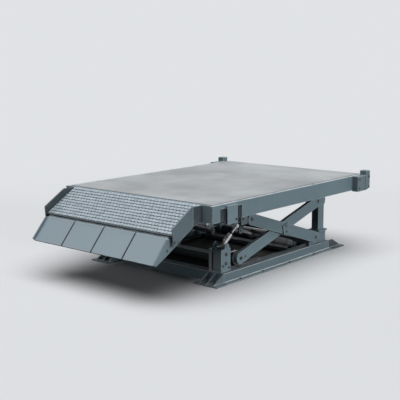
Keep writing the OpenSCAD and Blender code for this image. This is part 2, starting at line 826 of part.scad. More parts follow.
// Rest post of H section with the foot pin of a front cylinder between its flanges
module front_post(side) {
    x0 = post_face_x - post_w;
    y0 = base_front + post_set;
    top = channel_h + post_h;
    color(steel_blue) placed() on_side(side) union() {
        for (x = [x0, post_face_x - post_t])
            across(x, post_t) {
                translate([y0, channel_h]) square([post_d, post_h]);
                translate([front_foot_y, front_foot_z]) circle(r = post_lug_r);
                translate([front_foot_y - post_lug_r, top - cut])
                    square([2 * post_lug_r, front_foot_z - top + cut]);
            }
        box([x0, y0 + post_web_at, channel_h], [post_face_x, y0 + post_web_at + post_t, top]);
        for (z = [channel_h, top - 2 * post_t])
            box([x0, y0, z], [post_face_x, y0 + post_d, z + post_t]);
        bar_x(x0 - pin_head, post_w + 2 * pin_head, front_foot_y, front_foot_z, front_pin_r);
    }
}

// Tracks on the side channels for the rollers of the inner arms
module roller_tracks() {
    track_room = 120;
    y0 = base_front + post_set + post_d;
    x1 = arm_x - arm_gap / 2;
    color(steel_dark) placed() both_sides()
        box([x1 - roller_w, y0, channel_h], [x1, mid_beam_y + track_room, track_top]);
}

module guide_sleeve(side) {
    color(steel_blue) placed() on_side(side) difference() {
        union() {
            box([sleeve_x0, sleeve_y0, floor_t], [sleeve_x1, sleeve_y1, sleeve_h]);
            box([sleeve_x0 - collar_out, sleeve_y0 - collar_out, sleeve_h],
                [sleeve_x1 + collar_out, sleeve_y1 + collar_out, sleeve_h + collar_t]);
        }
        box([guide_in_x - guide_clear, guide_y - guide_clear, floor_t - cut],
            [guide_face_x + guide_clear, guide_y + guide_d + guide_clear, sleeve_h + collar_t + cut]);
    }
}

// Standing lugs on the side channels that carry the low ends of the outer arms
module arm_anchors() {
    lug_x0 = arm_x;
    lug_x1 = outer_x - arm_gap / 2;
    lug_r = arm_d / 2;
    color(steel_blue) placed() both_sides() union() {
        across(lug_x0, lug_x1 - lug_x0) {
            translate([outer_low_y, pivot_z]) circle(r = lug_r);
            translate([outer_low_y - lug_r, channel_h])
                square([2 * lug_r, pivot_z - channel_h]);
        }
        bar_x(lug_x1 - cut, outer_face + pin_end - lug_x1 + cut, outer_low_y, pivot_z, pivot_r);
    }
}

// Scissor arms

// Outline of an arm along its axis: round about one pivot, square with clipped corners at its other end
module arm_outline(round_at, end) {
    half = arm_d / 2;
    past = end > round_at ? 1 : -1;
    translate([round_at, 0]) circle(r = half);
    polygon([
        [round_at, -half], [end - past * arm_clip, -half], [end, arm_clip - half],
        [end, half - arm_clip], [end - past * arm_clip, half], [round_at, half]
    ]);
}

module inner_arm(side) {
    axle_in = arm_x - arm_gap / 2 - roller_w;
    color(steel_blue) placed() on_side(side) union() {
        across(arm_x, arm_t) translate([inner_low_y, pivot_z]) rotate(inner_angle) difference() {
            arm_outline(0, inner_len + arm_tail);
            translate([inner_len, 0]) circle(r = bore_r);
            translate([inner_len / 2, 0]) circle(r = pivot_r);
        }
        bar_x(axle_in, arm_x + arm_t + pin_end - axle_in, inner_low_y, pivot_z, pivot_r);
    }
}

// Tube between the inner arms at the crossing, with stub pins out through the outer arms
module torque_tube() {
    color(steel_dark) placed() union() {
        bar_x(-arm_x, 2 * arm_x, cross_y, cross_z, torque_r);
        bar_x(-stub_end, 2 * stub_end, cross_y, cross_z, pivot_r);
    }
}

// Keeper plates over the crossing pins
module cross_keepers() {
    color(steel_blue) placed() both_sides()
        across(stub_end, pin_head) translate([cross_y, cross_z]) rotate(inner_angle)
            square(keeper_w, center = true);
}

module roller(x, y, z, r) {
    difference() {
        bar_x(x, roller_w, y, z, r);
        bar_x(x - cut, roller_w + 2 * cut, y, z, bore_r);
    }
}

module base_rollers() {
    color(steel_dark) placed() both_sides()
        roller(arm_x - arm_gap / 2 - roller_w, inner_low_y, pivot_z, base_roller_r);
}

module outer_arm(side) {
    axle_in = outer_x - arm_gap / 2 - roller_w;
    color(steel_blue) placed() on_side(side) union() {
        across(outer_x, arm_t) translate([outer_low_y, pivot_z]) rotate(180 - outer_angle) difference() {
            arm_outline(outer_len, -arm_d / 2);
            circle(r = bore_r);
            translate([outer_len / 2, 0]) circle(r = pivot_r + cross_play);
        }
        bar_x(axle_in, outer_face + pin_end - axle_in, outer_high_y, high_z, pivot_r);
    }
}

// Tube between the outer arms, with the lugs and pins that the lift rods push on
module tie_tube() {
    lug_gap = 1;
    lug_in = lift_eye_w / 2 + lug_gap;
    color(steel_dark) placed() union() {
        bar_x(-outer_x, 2 * outer_x, tie_y, tie_z, tie_r);
        both_sides() {
            for (x = [lift_x - lug_in - lift_lug_t, lift_x + lug_in])
                across(x, lift_lug_t) {
                    translate([lift_top_y, lift_top_z]) circle(r = lift_eye_r);
                    translate([lift_top_y, lift_top_z]) rotate(90 - outer_angle)
                        translate([0, -lift_eye_r]) square([lift_drop, 2 * lift_eye_r]);
                }
            bar_x(lift_x - lug_in - lift_lug_t - pin_head, 2 * (lug_in + lift_lug_t + pin_head),
                lift_top_y, lift_top_z, lift_pin_r);
        }
    }
}

module deck_rollers() {
    color(steel_dark) placed() both_sides()
        roller(outer_x - arm_gap / 2 - roller_w, outer_high_y, high_z, deck_roller_r);
}

// Cylinders

// Places a cylinder drawn along +X from its foot pivot, with its eyes across the object
module cylinder_frame(x, y, z, angle) {
    placed() both_sides() translate([x, y, z]) rotate([angle, 0, 0]) rotate([0, 0, 90]) children();
}

module eye(r, w) {
    rotate([90, 0, 0]) cylinder(r = r, h = w, center = true);
}

module axle_bore(r, w) {
    rotate([90, 0, 0]) cylinder(r = r, h = w + 2 * cut, center = true);
}

module rod_bar(from, to, r) {
    translate([from, 0, 0]) rotate([0, 90, 0]) cylinder(r = r, h = to - from);
}

module lift_barrels() {
    gland_len = 40;
    gland_r = lift_barrel_r + 5;
    color(steel_dark) cylinder_frame(lift_x, lift_low_y, lift_pivot_z, 180 - outer_angle) difference() {
        union() {
            eye(lift_eye_r, lift_eye_w);
            rod_bar(lift_eye_r / 2, lift_eye_r + 2 * lift_lug_t, lift_rod_r);
            rod_bar(lift_eye_r + lift_lug_t, lift_barrel_len, lift_barrel_r);
            rod_bar(lift_barrel_len - gland_len, lift_barrel_len, gland_r);
        }
        axle_bore(lift_pin_r + pin_clear, lift_eye_w);
        rod_bar(lift_rod_from - lift_room, lift_barrel_len + cut, lift_rod_r + rod_clear);
    }
}

module lift_rods() {
    color(chrome) cylinder_frame(lift_x, lift_low_y, lift_pivot_z, 180 - outer_angle) difference() {
        union() {
            rod_bar(lift_rod_from, lift_len, lift_rod_r);
            translate([lift_len, 0, 0]) eye(lift_eye_r, lift_eye_w);
        }
        translate([lift_len, 0, 0]) axle_bore(lift_pin_r + lift_play, lift_eye_w);
    }
}

module front_barrels() {
    bore_from = front_head_r + 12;
    color(chrome) cylinder_frame(front_x, front_foot_y, front_foot_z, front_angle) difference() {
        union() {
            eye(front_head_r, front_eye_w);
            rod_bar(0, front_barrel_len, front_barrel_r);
        }
        axle_bore(front_pin_r + pin_clear, 2 * front_barrel_r);
        rod_bar(bore_from, front_barrel_len + cut, front_rod_r + rod_clear);
    }
}

module front_rods() {
    rod_from = front_barrel_len - front_engaged;
    color(chrome) cylinder_frame(front_x, front_foot_y, front_foot_z, front_angle) union() {
        rod_bar(rod_from, front_len, front_rod_r);
        translate([front_len, 0, 0]) eye(front_head_r, front_eye_w);
    }
}

deck_plate();
skirt(-1);  // skirt_left
skirt(1);  // skirt_right
front_header();
rear_header();
deck_ribs();
front_brackets();
rear_corner(-1);  // rear_corner_left
rear_corner(1);  // rear_corner_right
guide_post(-1);  // guide_post_left
guide_post(1);  // guide_post_right
arm_lugs();
deck_rails();
cylinder_saddles();
ramp_plate();
ramp_cheek(-1);  // ramp_cheek_left
ramp_cheek(1);  // ramp_cheek_right
ramp_frame();
hinge_pin();
lip_plate();
lip_knuckles();
lip_cheeks();
lip_ribs();
side_channel(-1);  // side_channel_left
side_channel(1);  // side_channel_right
front_crossbeam();
mid_crossbeam();
rear_crossbeam();
cylinder_beam();
front_foot(-1);  // front_foot_left
front_foot(1);  // front_foot_right
rear_foot(-1);  // rear_foot_left
rear_foot(1);  // rear_foot_right
front_post(-1);  // front_post_left
front_post(1);  // front_post_right
roller_tracks();
guide_sleeve(-1);  // guide_sleeve_left
guide_sleeve(1);  // guide_sleeve_right
arm_anchors();
inner_arm(-1);  // inner_arm_left
inner_arm(1);  // inner_arm_right
torque_tube();
cross_keepers();
base_rollers();
outer_arm(-1);  // outer_arm_left
outer_arm(1);  // outer_arm_right
tie_tube();
deck_rollers();
lift_barrels();
lift_rods();
front_barrels();
front_rods();
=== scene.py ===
"""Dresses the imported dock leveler: a finish on every solid, and tread, fasteners, welds and fittings."""

import json
import logging
import math
from contextlib import contextmanager
from dataclasses import dataclass, field
from enum import Enum
from functools import cache
from typing import Callable, Iterable, Iterator, Sequence

import bpy
from mathutils import Matrix, Vector


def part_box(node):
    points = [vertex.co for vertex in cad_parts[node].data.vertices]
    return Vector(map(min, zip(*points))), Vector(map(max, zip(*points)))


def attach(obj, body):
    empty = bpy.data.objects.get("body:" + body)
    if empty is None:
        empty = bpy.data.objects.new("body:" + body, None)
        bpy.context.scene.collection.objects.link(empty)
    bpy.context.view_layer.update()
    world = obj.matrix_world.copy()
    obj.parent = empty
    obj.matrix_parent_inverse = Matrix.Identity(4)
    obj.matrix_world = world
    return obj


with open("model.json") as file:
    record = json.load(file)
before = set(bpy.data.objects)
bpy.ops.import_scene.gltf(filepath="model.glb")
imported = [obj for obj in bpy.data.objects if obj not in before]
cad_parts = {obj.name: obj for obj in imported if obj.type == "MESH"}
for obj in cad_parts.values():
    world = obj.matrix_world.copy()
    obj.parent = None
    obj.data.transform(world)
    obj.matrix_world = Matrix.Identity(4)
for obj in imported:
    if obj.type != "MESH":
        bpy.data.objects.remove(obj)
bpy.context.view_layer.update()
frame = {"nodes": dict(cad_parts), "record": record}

LOG = logging.getLogger("dock_leveler")
MM = 0.001
SIDES = (-1, 1)
UP = Vector((0.0, 0.0, 1.0))
DECK_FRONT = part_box("deck_plate")[0].y
Colour = tuple[float, float, float]
Point = tuple[float, float, float]
Pair = tuple[float, float]
Corners = tuple[Point, Point]
Line = tuple[Vector, Vector]
Piece = bpy.types.Object
Material = bpy.types.Material
Tree = bpy.types.NodeTree
Socket = bpy.types.NodeSocket
Sockets = bpy.types.bpy_prop_collection


class Slot(Enum):
    """The record's material slots."""

    FRAME = "frame_paint"
    DARK = "dark_paint"
    LIP = "lip_paint"
    DECK = "deck_steel"
    TREAD = "tread_steel"
    WORN = "worn_steel"
    CHROME = "bright_chrome"


class Body(Enum):
    """The rigid bodies that the scene's own pieces ride on."""

    BASE = "base"
    DECK = "deck"
    LIP = "lip"
    INNER_ARMS = "arms_a"
    OUTER_ARMS = "arms_b"
    LIFT_BARRELS = "lift_barrel_pair"
    FRONT_BARRELS = "front_barrel_pair"
    FRONT_RODS = "front_rod_pair"


class Coat(Enum):
    """The finishes that solids and new pieces wear; several are lit or shaded copies of one paint, with light or
    shade painted into their colour.
    """

    FRAME = "satin_frame_paint"
    RIM = "trodden_rim_paint"
    BASE = "base_frame_paint"
    FITTING = "bright_frame_paint"
    SHADE = "shaded_side_paint"
    INNER_SHADE = "inner_cheek_paint"
    DARK = "dark_frame_paint"
    HEADER = "header_paint"
    HINGE = "hinge_paint"
    LIP = "lip_face_paint"
    LIP_SIDE = "lip_side_paint"
    WELD = "painted_weld"
    DECK = "plain_deck_plate"
    TREAD = "raised_tread"
    TREAD_GROUND = "tread_ground"
    WORN = "run_in_steel"
    ROLLER = "roller_steel"
    PIN = "oiled_pin_steel"
    CHROME = "hard_chrome"
    BARREL = "satin_barrel"
    ZINC = "zinc_fasteners"
    PAN = "oily_pan_plate"
    RUBBER = "seam_rubber"


class Pick(Enum):
    """What is selected in edit mode."""

    FACES = "FACE"
    EDGES = "EDGE"


def spot(x: float, y: float, z: float) -> Vector:
    """Turns a point in millimetres, with Y from the deck plate's front edge, into the row frame in metres."""
    return Vector((x * MM, y * MM + DECK_FRONT, z * MM))


def sideways(side: int) -> Vector:
    """The direction out of the right (1) or left (-1) side."""
    return Vector((side, 0.0, 0.0))


def on_both_sides(lines: Iterable[Corners]) -> list[Line]:
    """Turns lines on the right side, in millimetres, into lines on both sides, in metres."""
    return [tuple(spot(side * x, y, z) for x, y, z in line) for side in SIDES for line in lines]


def looks_up(centre: Vector, normal: Vector) -> bool:
    """Whether a face with this centre and normal looks up."""
    return normal.z > 0.9


class Bench:
    """Modelling operators, each acting on one piece alone."""

    @staticmethod
    def clear() -> None:
        """Leaves edit mode and selects nothing."""
        if bpy.context.mode != "OBJECT":
            bpy.ops.object.mode_set(mode="OBJECT")
        bpy.ops.object.select_all(action="DESELECT")

    @staticmethod
    def only(*pieces: Piece) -> None:
        """Selects some pieces alone and makes the first one active.

        Args:
            *pieces: The pieces to select.
        """
        Bench.clear()
        for piece in pieces:
            piece.select_set(True)
        bpy.context.view_layer.objects.active = pieces[0]

    @staticmethod
    def block(name: str, size: Sequence[float]) -> Piece:
        """Adds a box of a size in metres, centred on the origin.

        Args:
            name: The name of the piece.
            size: Its lengths along X, Y and Z.

        Returns:
            The new piece.
        """
        Bench.clear()
        bpy.ops.mesh.primitive_cube_add(size=1.0)
        piece = bpy.context.object
        piece.name = name
        piece.scale = size
        bpy.ops.object.transform_apply(location=False, rotation=False, scale=True)
        return piece

    @staticmethod
    def sheet(side: int, corners: Corners, soft: float = 0.6 * MM) -> Piece:
        """Models a thin sheet with softened edges between two corners on one side.

        Args:
            side: The right (1) or left (-1) side.
            corners: Its low and high corner on the right side, in millimetres.
            soft: The width of its softened edges in metres.

        Returns:
            The sheet.
        """
        low, high = (spot(*corner) for corner in corners)
        sheet = Bench.block("sheet", high - low)
        Bench.soften(sheet, soft)
        middle = (low + high) / 2
        middle.x *= side
        Bench.place(sheet, middle)
        return sheet

    @staticmethod
    def round_bar(name: str, radius: float, depth: float, sides: int = 24) -> Piece:
        """Adds a round bar along Z that starts at the origin.

        Args:
            name: The name of the piece.
            radius: Its radius in metres.
            depth: Its length in metres.
            sides: How many flats stand for the round.

        Returns:
            The new piece.
        """
        Bench.clear()
        bpy.ops.mesh.primitive_cylinder_add(vertices=sides, radius=radius, depth=depth, location=(0, 0, depth / 2))
        piece = bpy.context.object
        piece.name = name
        bpy.ops.object.transform_apply(location=True, rotation=False, scale=False)
        return piece

    @staticmethod
    @contextmanager
    def picked(piece: Piece, kind: Pick, test: Callable[[Vector, Vector], bool]) -> Iterator[None]:
        """Keeps a piece in edit mode with the faces or edges selected that pass a test.

        Args:
            piece: The piece to work on.
            kind: Whether faces or edges are selected.
            test: Takes the centre and the normal of a face, or the two ends of an edge.

        Yields:
            Nothing, once the selection is made.
        """
        Bench.only(piece)
        bpy.ops.object.mode_set(mode="EDIT")
        bpy.ops.mesh.select_mode(type=kind.value)
        bpy.ops.mesh.select_all(action="DESELECT")
        bpy.ops.object.mode_set(mode="OBJECT")
        mesh = piece.data
        if kind is Pick.FACES:
            for face in mesh.polygons:
                face.select = test(face.center, face.normal)
        else:
            for edge in mesh.edges:
                edge.select = test(*(mesh.vertices[end].co for end in edge.vertices))
        bpy.ops.object.mode_set(mode="EDIT")
        yield
        bpy.ops.object.mode_set(mode="OBJECT")

    @staticmethod
    def soften(piece: Piece, width: float, segments: int = 2) -> None:
        """Rounds the sharp edges of a piece with an applied bevel.

        Args:
            piece: The piece to work on.
            width: The width of the bevel in metres.
            segments: How many faces the bevel has.
        """
        bevel = piece.modifiers.new("soften", "BEVEL")
        bevel.width = width
        bevel.segments = segments
        bevel.limit_method = "ANGLE"
        bevel.angle_limit = math.radians(30)
        Bench.only(piece)
        bpy.ops.object.modifier_apply(modifier=bevel.name)

    @staticmethod
    def repeat(piece: Piece, step: Sequence[float], count: int) -> None:
        """Repeats a piece along a line with an applied array.

        Args:
            piece: The piece to repeat.
            step: The distance from one copy to the next, in metres.
            count: How many there are in the end.
        """
        row = piece.modifiers.new("repeat", "ARRAY")
        row.use_relative_offset = False
        row.use_constant_offset = True
        row.constant_offset_displace = step
        row.count = count
        Bench.only(piece)
        bpy.ops.object.modifier_apply(modifier=row.name)

    @staticmethod
    def set_at(piece: Piece, matrix: Matrix) -> None:
        """Moves a piece and sets its place into its mesh.

        Args:
            piece: The piece to move.
            matrix: Where it goes.
        """
        piece.matrix_world = matrix
        Bench.only(piece)
        bpy.ops.object.transform_apply(location=True, rotation=True, scale=True)

    @staticmethod
    def place(piece: Piece, where: Vector, axis: Vector = UP, turn: float = 0.0) -> None:
        """Turns a piece about its +Z, points that along an axis and moves its origin, all in its mesh."""
        lean = UP.rotation_difference(axis).to_matrix().to_4x4()
        Bench.set_at(piece, Matrix.Translation(where) @ lean @ Matrix.Rotation(turn, 4, "Z"))

    @staticmethod
    def copy(piece: Piece) -> Piece:
        """Copies a piece.

        Args:
            piece: The piece to copy.

        Returns:
            The copy, with a mesh of its own.
        """
        Bench.only(piece)
        bpy.ops.object.duplicate(linked=False)
        return bpy.context.object

    @staticmethod
    def join(name: str, pieces: Sequence[Piece]) -> Piece:
        """Joins pieces into one.

        Args:
            name: The name of the whole.
            pieces: What is joined.

        Returns:
            The whole.
        """
        Bench.only(*pieces)
        if len(pieces) > 1:
            bpy.ops.object.join()
        pieces[0].name = name
        pieces[0].data.name = name
        return pieces[0]

    @staticmethod
    def outward(piece: Piece) -> None:
        """Merges doubled points and turns all faces outwards.

        Args:
            piece: The piece to work on.
        """
        with Bench.picked(piece, Pick.FACES, lambda centre, normal: True):
            bpy.ops.mesh.remove_doubles(threshold=1e-5)
            bpy.ops.mesh.normals_make_consistent(inside=False)

    @staticmethod
    def smooth(piece: Piece, angle: float) -> None:
        """Shades a piece smooth across edges flatter than an angle in degrees."""
        Bench.only(piece)
        bpy.ops.object.shade_smooth_by_angle(angle=math.radians(angle))

    @staticmethod
    def ring(name: str, outer: float, inner: float, depth: float, sides: int = 32) -> Piece:
        """Adds a ring round Z that starts at the origin.

        Args:
            name: The name of the piece.
            outer: Its outer radius in metres.
            inner: Its inner radius in metres.
            depth: Its width along Z in metres.
            sides: How many flats stand for the round.

        Returns:
            The new piece.
        """
        piece = Bench.round_bar(name, outer, depth, sides)
        with Bench.picked(piece, Pick.FACES, lambda centre, normal: abs(normal.z) > 0.9):
            bpy.ops.mesh.inset(thickness=outer - inner)
            bpy.ops.mesh.bridge_edge_loops()
        Bench.outward(piece)
        return piece

    @staticmethod
    def pipe(name: str, points: Sequence[Vector], radius: float, bend: float, steps: int = 5) -> Piece:
        """Adds a rigid pipe along straight runs with rounded bends.

        Args:
            name: The name of the piece.
            points: The corners of its route.
            radius: Its radius in metres.
            bend: How far from a corner its bend starts, in metres.
            steps: How many straight steps stand for a bend.

        Returns:
            The new piece.
        """
        route = [points[0]]
        for before, corner, after in zip(points, points[1:], points[2:]):
            start = corner + (before - corner).normalized() * bend
            end = corner + (after - corner).normalized() * bend
            for share in (step / steps for step in range(steps + 1)):
                route.append(start.lerp(corner, share).lerp(corner.lerp(end, share), share))
        route.append(points[-1])
        Bench.clear()
        bpy.ops.curve.primitive_bezier_curve_add()
        line = bpy.context.object.data
        line.splines.clear()
        run = line.splines.new("POLY")
        run.points.add(len(route) - 1)
        for knot, where in zip(run.points, route):
            knot.co = (*where, 1.0)
        line.dimensions = "3D"
        line.bevel_depth = radius
        line.bevel_resolution = 2
        line.use_fill_caps = True
        bpy.ops.object.convert(target="MESH")
        piece = bpy.context.object
        piece.name = name
        Bench.outward(piece)
        return piece


class Graph:
    """Adds nodes to one node tree and joins them."""

    def __init__(self, tree: Tree) -> None:
        """Takes the tree to work in."""
        self.tree = tree

    def add(self, kind: str, **settings: object) -> bpy.types.Node:
        """Adds a node.

        Args:
            kind: The node's type without its ShaderNode prefix.
            **settings: Properties of the node, or values of its inputs by their names.

        Returns:
            The new node.
        """
        node = self.tree.nodes.new("ShaderNode" + kind)
        for key, value in settings.items():
            if hasattr(node, key):
                setattr(node, key, value)
            else:
                node.inputs[key].default_value = value
        return node

    def join(self, source: object, target: Socket) -> None:
        """Joins an output to an input, or sets a number or a colour on the input.

        Args:
            source: The output, number or colour.
            target: The input.
        """
        if isinstance(source, Socket):
            self.tree.links.new(source, target)
        elif isinstance(source, (int, float)):
            target.default_value = source
        else:
            target.default_value = (*source, 1.0)

    def math(self, operation: str, *values: object, clamp: bool = False) -> Socket:
        """Adds a Math node.

        Args:
            operation: What it does.
            *values: Numbers or outputs, in the order of its inputs.
            clamp: Whether the result is held between 0 and 1.

        Returns:
            Its result.
        """
        node = self.add("Math", operation=operation, use_clamp=clamp)
        for value, target in zip(values, node.inputs):
            self.join(value, target)
        return node.outputs[0]

    def mix(self, factor: object, first: object, second: object) -> Socket:
        """Mixes two colours.

        Args:
            factor: The share of the second one, a number or an output.
            first: A colour or an output.
            second: A colour or an output.

        Returns:
            The mixed colour.
        """
        node = self.add("Mix", data_type="RGBA")
        for index, value in ((0, factor), (6, first), (7, second)):
            self.join(value, node.inputs[index])
        return node.outputs[2]

    def spread(self, value: Socket, low: float, high: float,
               to_low: float = 0.0, to_high: float = 1.0) -> Socket:
        """Maps a value from one range to another, held at both ends.

        Args:
            value: The output to map.
            low: The value that becomes to_low.
            high: The value that becomes to_high.
            to_low: The lower end of the result.
            to_high: The upper end of the result.

        Returns:
            The mapped value.
        """
        node = self.add("MapRange", clamp=True)
        for name, number in (("From Min", low), ("From Max", high), ("To Min", to_low), ("To Max", to_high)):
            node.inputs[name].default_value = number
        self.join(value, node.inputs["Value"])
        return node.outputs["Result"]

    def noise(self, vector: Socket, scale: object, detail: float,
              roughness: float) -> Socket:
        """Adds a noise texture.

        Args:
            vector: Where on the piece it is.
            scale: How fine it is, a number or an output.
            detail: How many finer layers it has.
            roughness: How strong they are.

        Returns:
            Its value.
        """
        node = self.add("TexNoise", Detail=detail, Roughness=roughness)
        self.join(vector, node.inputs["Vector"])
        self.join(scale, node.inputs["Scale"])
        return node.outputs["Fac"]

    def pair(self, operation: str, first: Socket, second: Socket) -> bpy.types.Node:
        """Adds a Vector Math node that takes two outputs.

        Args:
            operation: What it does.
            first: Its first vector.
            second: Its second vector.

        Returns:
            The node.
        """
        node = self.add("VectorMath", operation=operation)
        self.join(first, node.inputs[0])
        self.join(second, node.inputs[1])
        return node

    def upness(self) -> Socket:
        """Tells how far a face looks up.

        Returns:
            The Z of its normal.
        """
        parts = self.add("SeparateXYZ")
        self.join(self.add("NewGeometry").outputs["Normal"], parts.inputs[0])
        return parts.outputs["Z"]


class Effects:
    """Shader node groups that several finishes share, each built once."""

    @staticmethod
    def start(name: str, inputs: dict[str, str], outputs: dict[str, str]
              ) -> tuple[Graph, Sockets, Sockets]:
        """Starts a group with its named sockets.

        Args:
            name: The name of the group.
            inputs: Names and kinds of its inputs.
            outputs: Names and kinds of its outputs.

        Returns:
            Its graph, what it is given and what it makes.
        """
        tree = bpy.data.node_groups.new(name, "ShaderNodeTree")
        for way, sockets in (("INPUT", inputs), ("OUTPUT", outputs)):
            for label, kind in sockets.items():
                tree.interface.new_socket(label, in_out=way, socket_type="NodeSocket" + kind)
        return Graph(tree), tree.nodes.new("NodeGroupInput").outputs, tree.nodes.new("NodeGroupOutput").inputs

    @staticmethod
    @cache
    def colour_drift() -> Tree:
        """A colour that drifts between two tones in soft clouds with finer specks.

        Returns:
            The group.
        """
        graph, given, made = Effects.start(
            "colour_drift", {"Vector": "Vector", "Low": "Color", "High": "Color", "Scale": "Float"},
            {"Colour": "Color", "Cloud": "Float"},
        )
        soft = graph.spread(graph.noise(given["Vector"], given["Scale"], detail=5.0, roughness=0.62), 0.36, 0.64)
        fine = graph.spread(graph.noise(given["Vector"], 95.0, detail=3.0, roughness=0.7), 0.35, 0.65)
        both = graph.math("ADD", graph.math("MULTIPLY", soft, 0.8), graph.math("MULTIPLY", fine, 0.2))
        graph.join(graph.mix(both, given["Low"], given["High"]), made["Colour"])
        graph.join(soft, made["Cloud"])
        return graph.tree

    @staticmethod
    @cache
    def edge_wear_and_highlight() -> Tree:
        """A mask along the sharp edges of a solid, broken up by noise: worn edges, and where it is wide, a painted
        edge highlight.

        Returns:
            The group.
        """
        graph, given, made = Effects.start(
            "edge_wear_and_highlight", {"Vector": "Vector", "Radius": "Float", "Strength": "Float"}, {"Mask": "Float"}
        )
        rounded = graph.add("Bevel", samples=4)
        graph.join(given["Radius"], rounded.inputs["Radius"])
        flat = graph.add("NewGeometry")
        turn = graph.pair("DOT_PRODUCT", rounded.outputs["Normal"], flat.outputs["Normal"])
        edge = graph.spread(turn.outputs["Value"], 0.995, 0.86)
        chips = graph.spread(graph.noise(given["Vector"], 28.0, detail=6.0, roughness=0.75), 0.3, 0.56)
        broken = graph.math("MULTIPLY", edge, chips)
        graph.join(graph.math("MULTIPLY", broken, given["Strength"], clamp=True), made["Mask"])
        return graph.tree

    @staticmethod
    @cache
    def top_dust_and_highlight() -> Tree:
        """A mask in patches on faces that look up: settled dust, and where a finish turns it up, a painted
        highlight on top.

        Returns:
            The group.
        """
        graph, given, made = Effects.start(
            "top_dust_and_highlight", {"Vector": "Vector", "Amount": "Float"}, {"Mask": "Float"}
        )
        level = graph.spread(graph.upness(), 0.45, 0.95)
        patch = graph.spread(graph.noise(given["Vector"], 7.0, detail=7.0, roughness=0.65), 0.35, 0.75)
        lying = graph.math("MULTIPLY", level, patch)
        graph.join(graph.math("MULTIPLY", lying, given["Amount"], clamp=True), made["Mask"])
        return graph.tree

    @staticmethod
    @cache
    def drawn_grain() -> Tree:
        """Fine grain drawn out along one direction, as a height and as a mask of scratches.

        Returns:
            The group.
        """
        graph, given, made = Effects.start(
            "drawn_grain", {"Vector": "Vector", "Stretch": "Vector", "Scale": "Float"},
            {"Height": "Float", "Scratch": "Float"},
        )
        drawn = graph.pair("MULTIPLY", given["Vector"], given["Stretch"]).outputs[0]
        graph.join(graph.noise(drawn, given["Scale"], detail=4.0, roughness=0.6), made["Height"])
        coarse = graph.noise(drawn, graph.math("MULTIPLY", given["Scale"], 0.35), detail=2.0, roughness=0.5)
        graph.join(graph.spread(coarse, 0.66, 0.74), made["Scratch"])
        return graph.tree

    @staticmethod
    @cache
    def run_down() -> Tree:
        """A mask of faint dirt runs down standing faces.

        Returns:
            The group.
        """
        graph, given, made = Effects.start(
            "run_down", {"Vector": "Vector", "Amount": "Float"}, {"Mask": "Float"}
        )
        standing = graph.spread(graph.math("ABSOLUTE", graph.upness()), 0.5, 0.2)
        drawn = graph.add("VectorMath", operation="MULTIPLY")
        graph.join(given["Vector"], drawn.inputs[0])
        drawn.inputs[1].default_value = (1.0, 1.0, 0.09)
        runs = graph.spread(graph.noise(drawn.outputs[0], 24.0, detail=5.0, roughness=0.6), 0.5, 0.72)
        lines = graph.math("MULTIPLY", standing, runs)
        graph.join(graph.math("MULTIPLY", lines, given["Amount"], clamp=True), made["Mask"])
        return graph.tree


class Draft:
    """A material in the making: its graph, its Principled shader and the Object coordinates."""

    def __init__(self, name: str) -> None:
        """Starts a material.

        Args:
            name: Its name.
        """
        self.material = bpy.data.materials.new(name)
        self.material.use_nodes = True
        self.graph = Graph(self.material.node_tree)
        self.shader = self.material.node_tree.nodes["Principled BSDF"]
        self.where = self.graph.add("TexCoord").outputs["Object"]

    def effect(self, tree: Tree, **values: object) -> Sockets:
        """Places a shared effect.

        Args:
            tree: The effect's group.
            **values: Values of its inputs other than the coordinates.

        Returns:
            The outputs of the group's node.
        """
        node = self.graph.add("Group", node_tree=tree)
        self.graph.join(self.where, node.inputs["Vector"])
        for label, value in values.items():
            node.inputs[label].default_value = value
        return node.outputs

    def drift(self, low: Colour, high: Colour, scale: float) -> Sockets:
        """Places the drift between two tones and gives the outputs of its node."""
        return self.effect(Effects.colour_drift(), Low=(*low, 1.0), High=(*high, 1.0), Scale=scale)

    def grain(self, stretch: Point, scale: float) -> Sockets:
        """Places the drawn grain and gives the outputs of its node."""
        return self.effect(Effects.drawn_grain(), Stretch=stretch, Scale=scale)

    def shade(self, **values: object) -> None:
        """Joins outputs to inputs of the shader, or sets numbers on them, with _ for a space in a name."""
        for label, value in values.items():
            self.graph.join(value, self.shader.inputs[label.replace("_", " ")])

    def relief(self, height: Socket, strength: float, distance: float) -> None:
        """Feeds a height to the shader's normal.

        Args:
            height: The height to feed.
            strength: How much of it shows.
            distance: How deep it is, in metres.
        """
        bump = self.graph.add("Bump", Strength=strength, Distance=distance)
        self.graph.join(height, bump.inputs["Height"])
        self.shade(Normal=bump.outputs["Normal"])


@dataclass(frozen=True)
class Finish:
    """What every finish has: the record's slot it belongs to and the two tones it drifts between."""

    slot: Slot
    low: Colour
    high: Colour

    def make(self, name: str) -> Material:
        """Makes the finish's material.

        Args:
            name: The name of the material.

        Returns:
            The material.
        """
        draft = Draft(name)
        self.dress(draft)
        return draft.material

    def dress(self, draft: Draft) -> None:
        """Builds the shading of a material in the making."""
        raise NotImplementedError


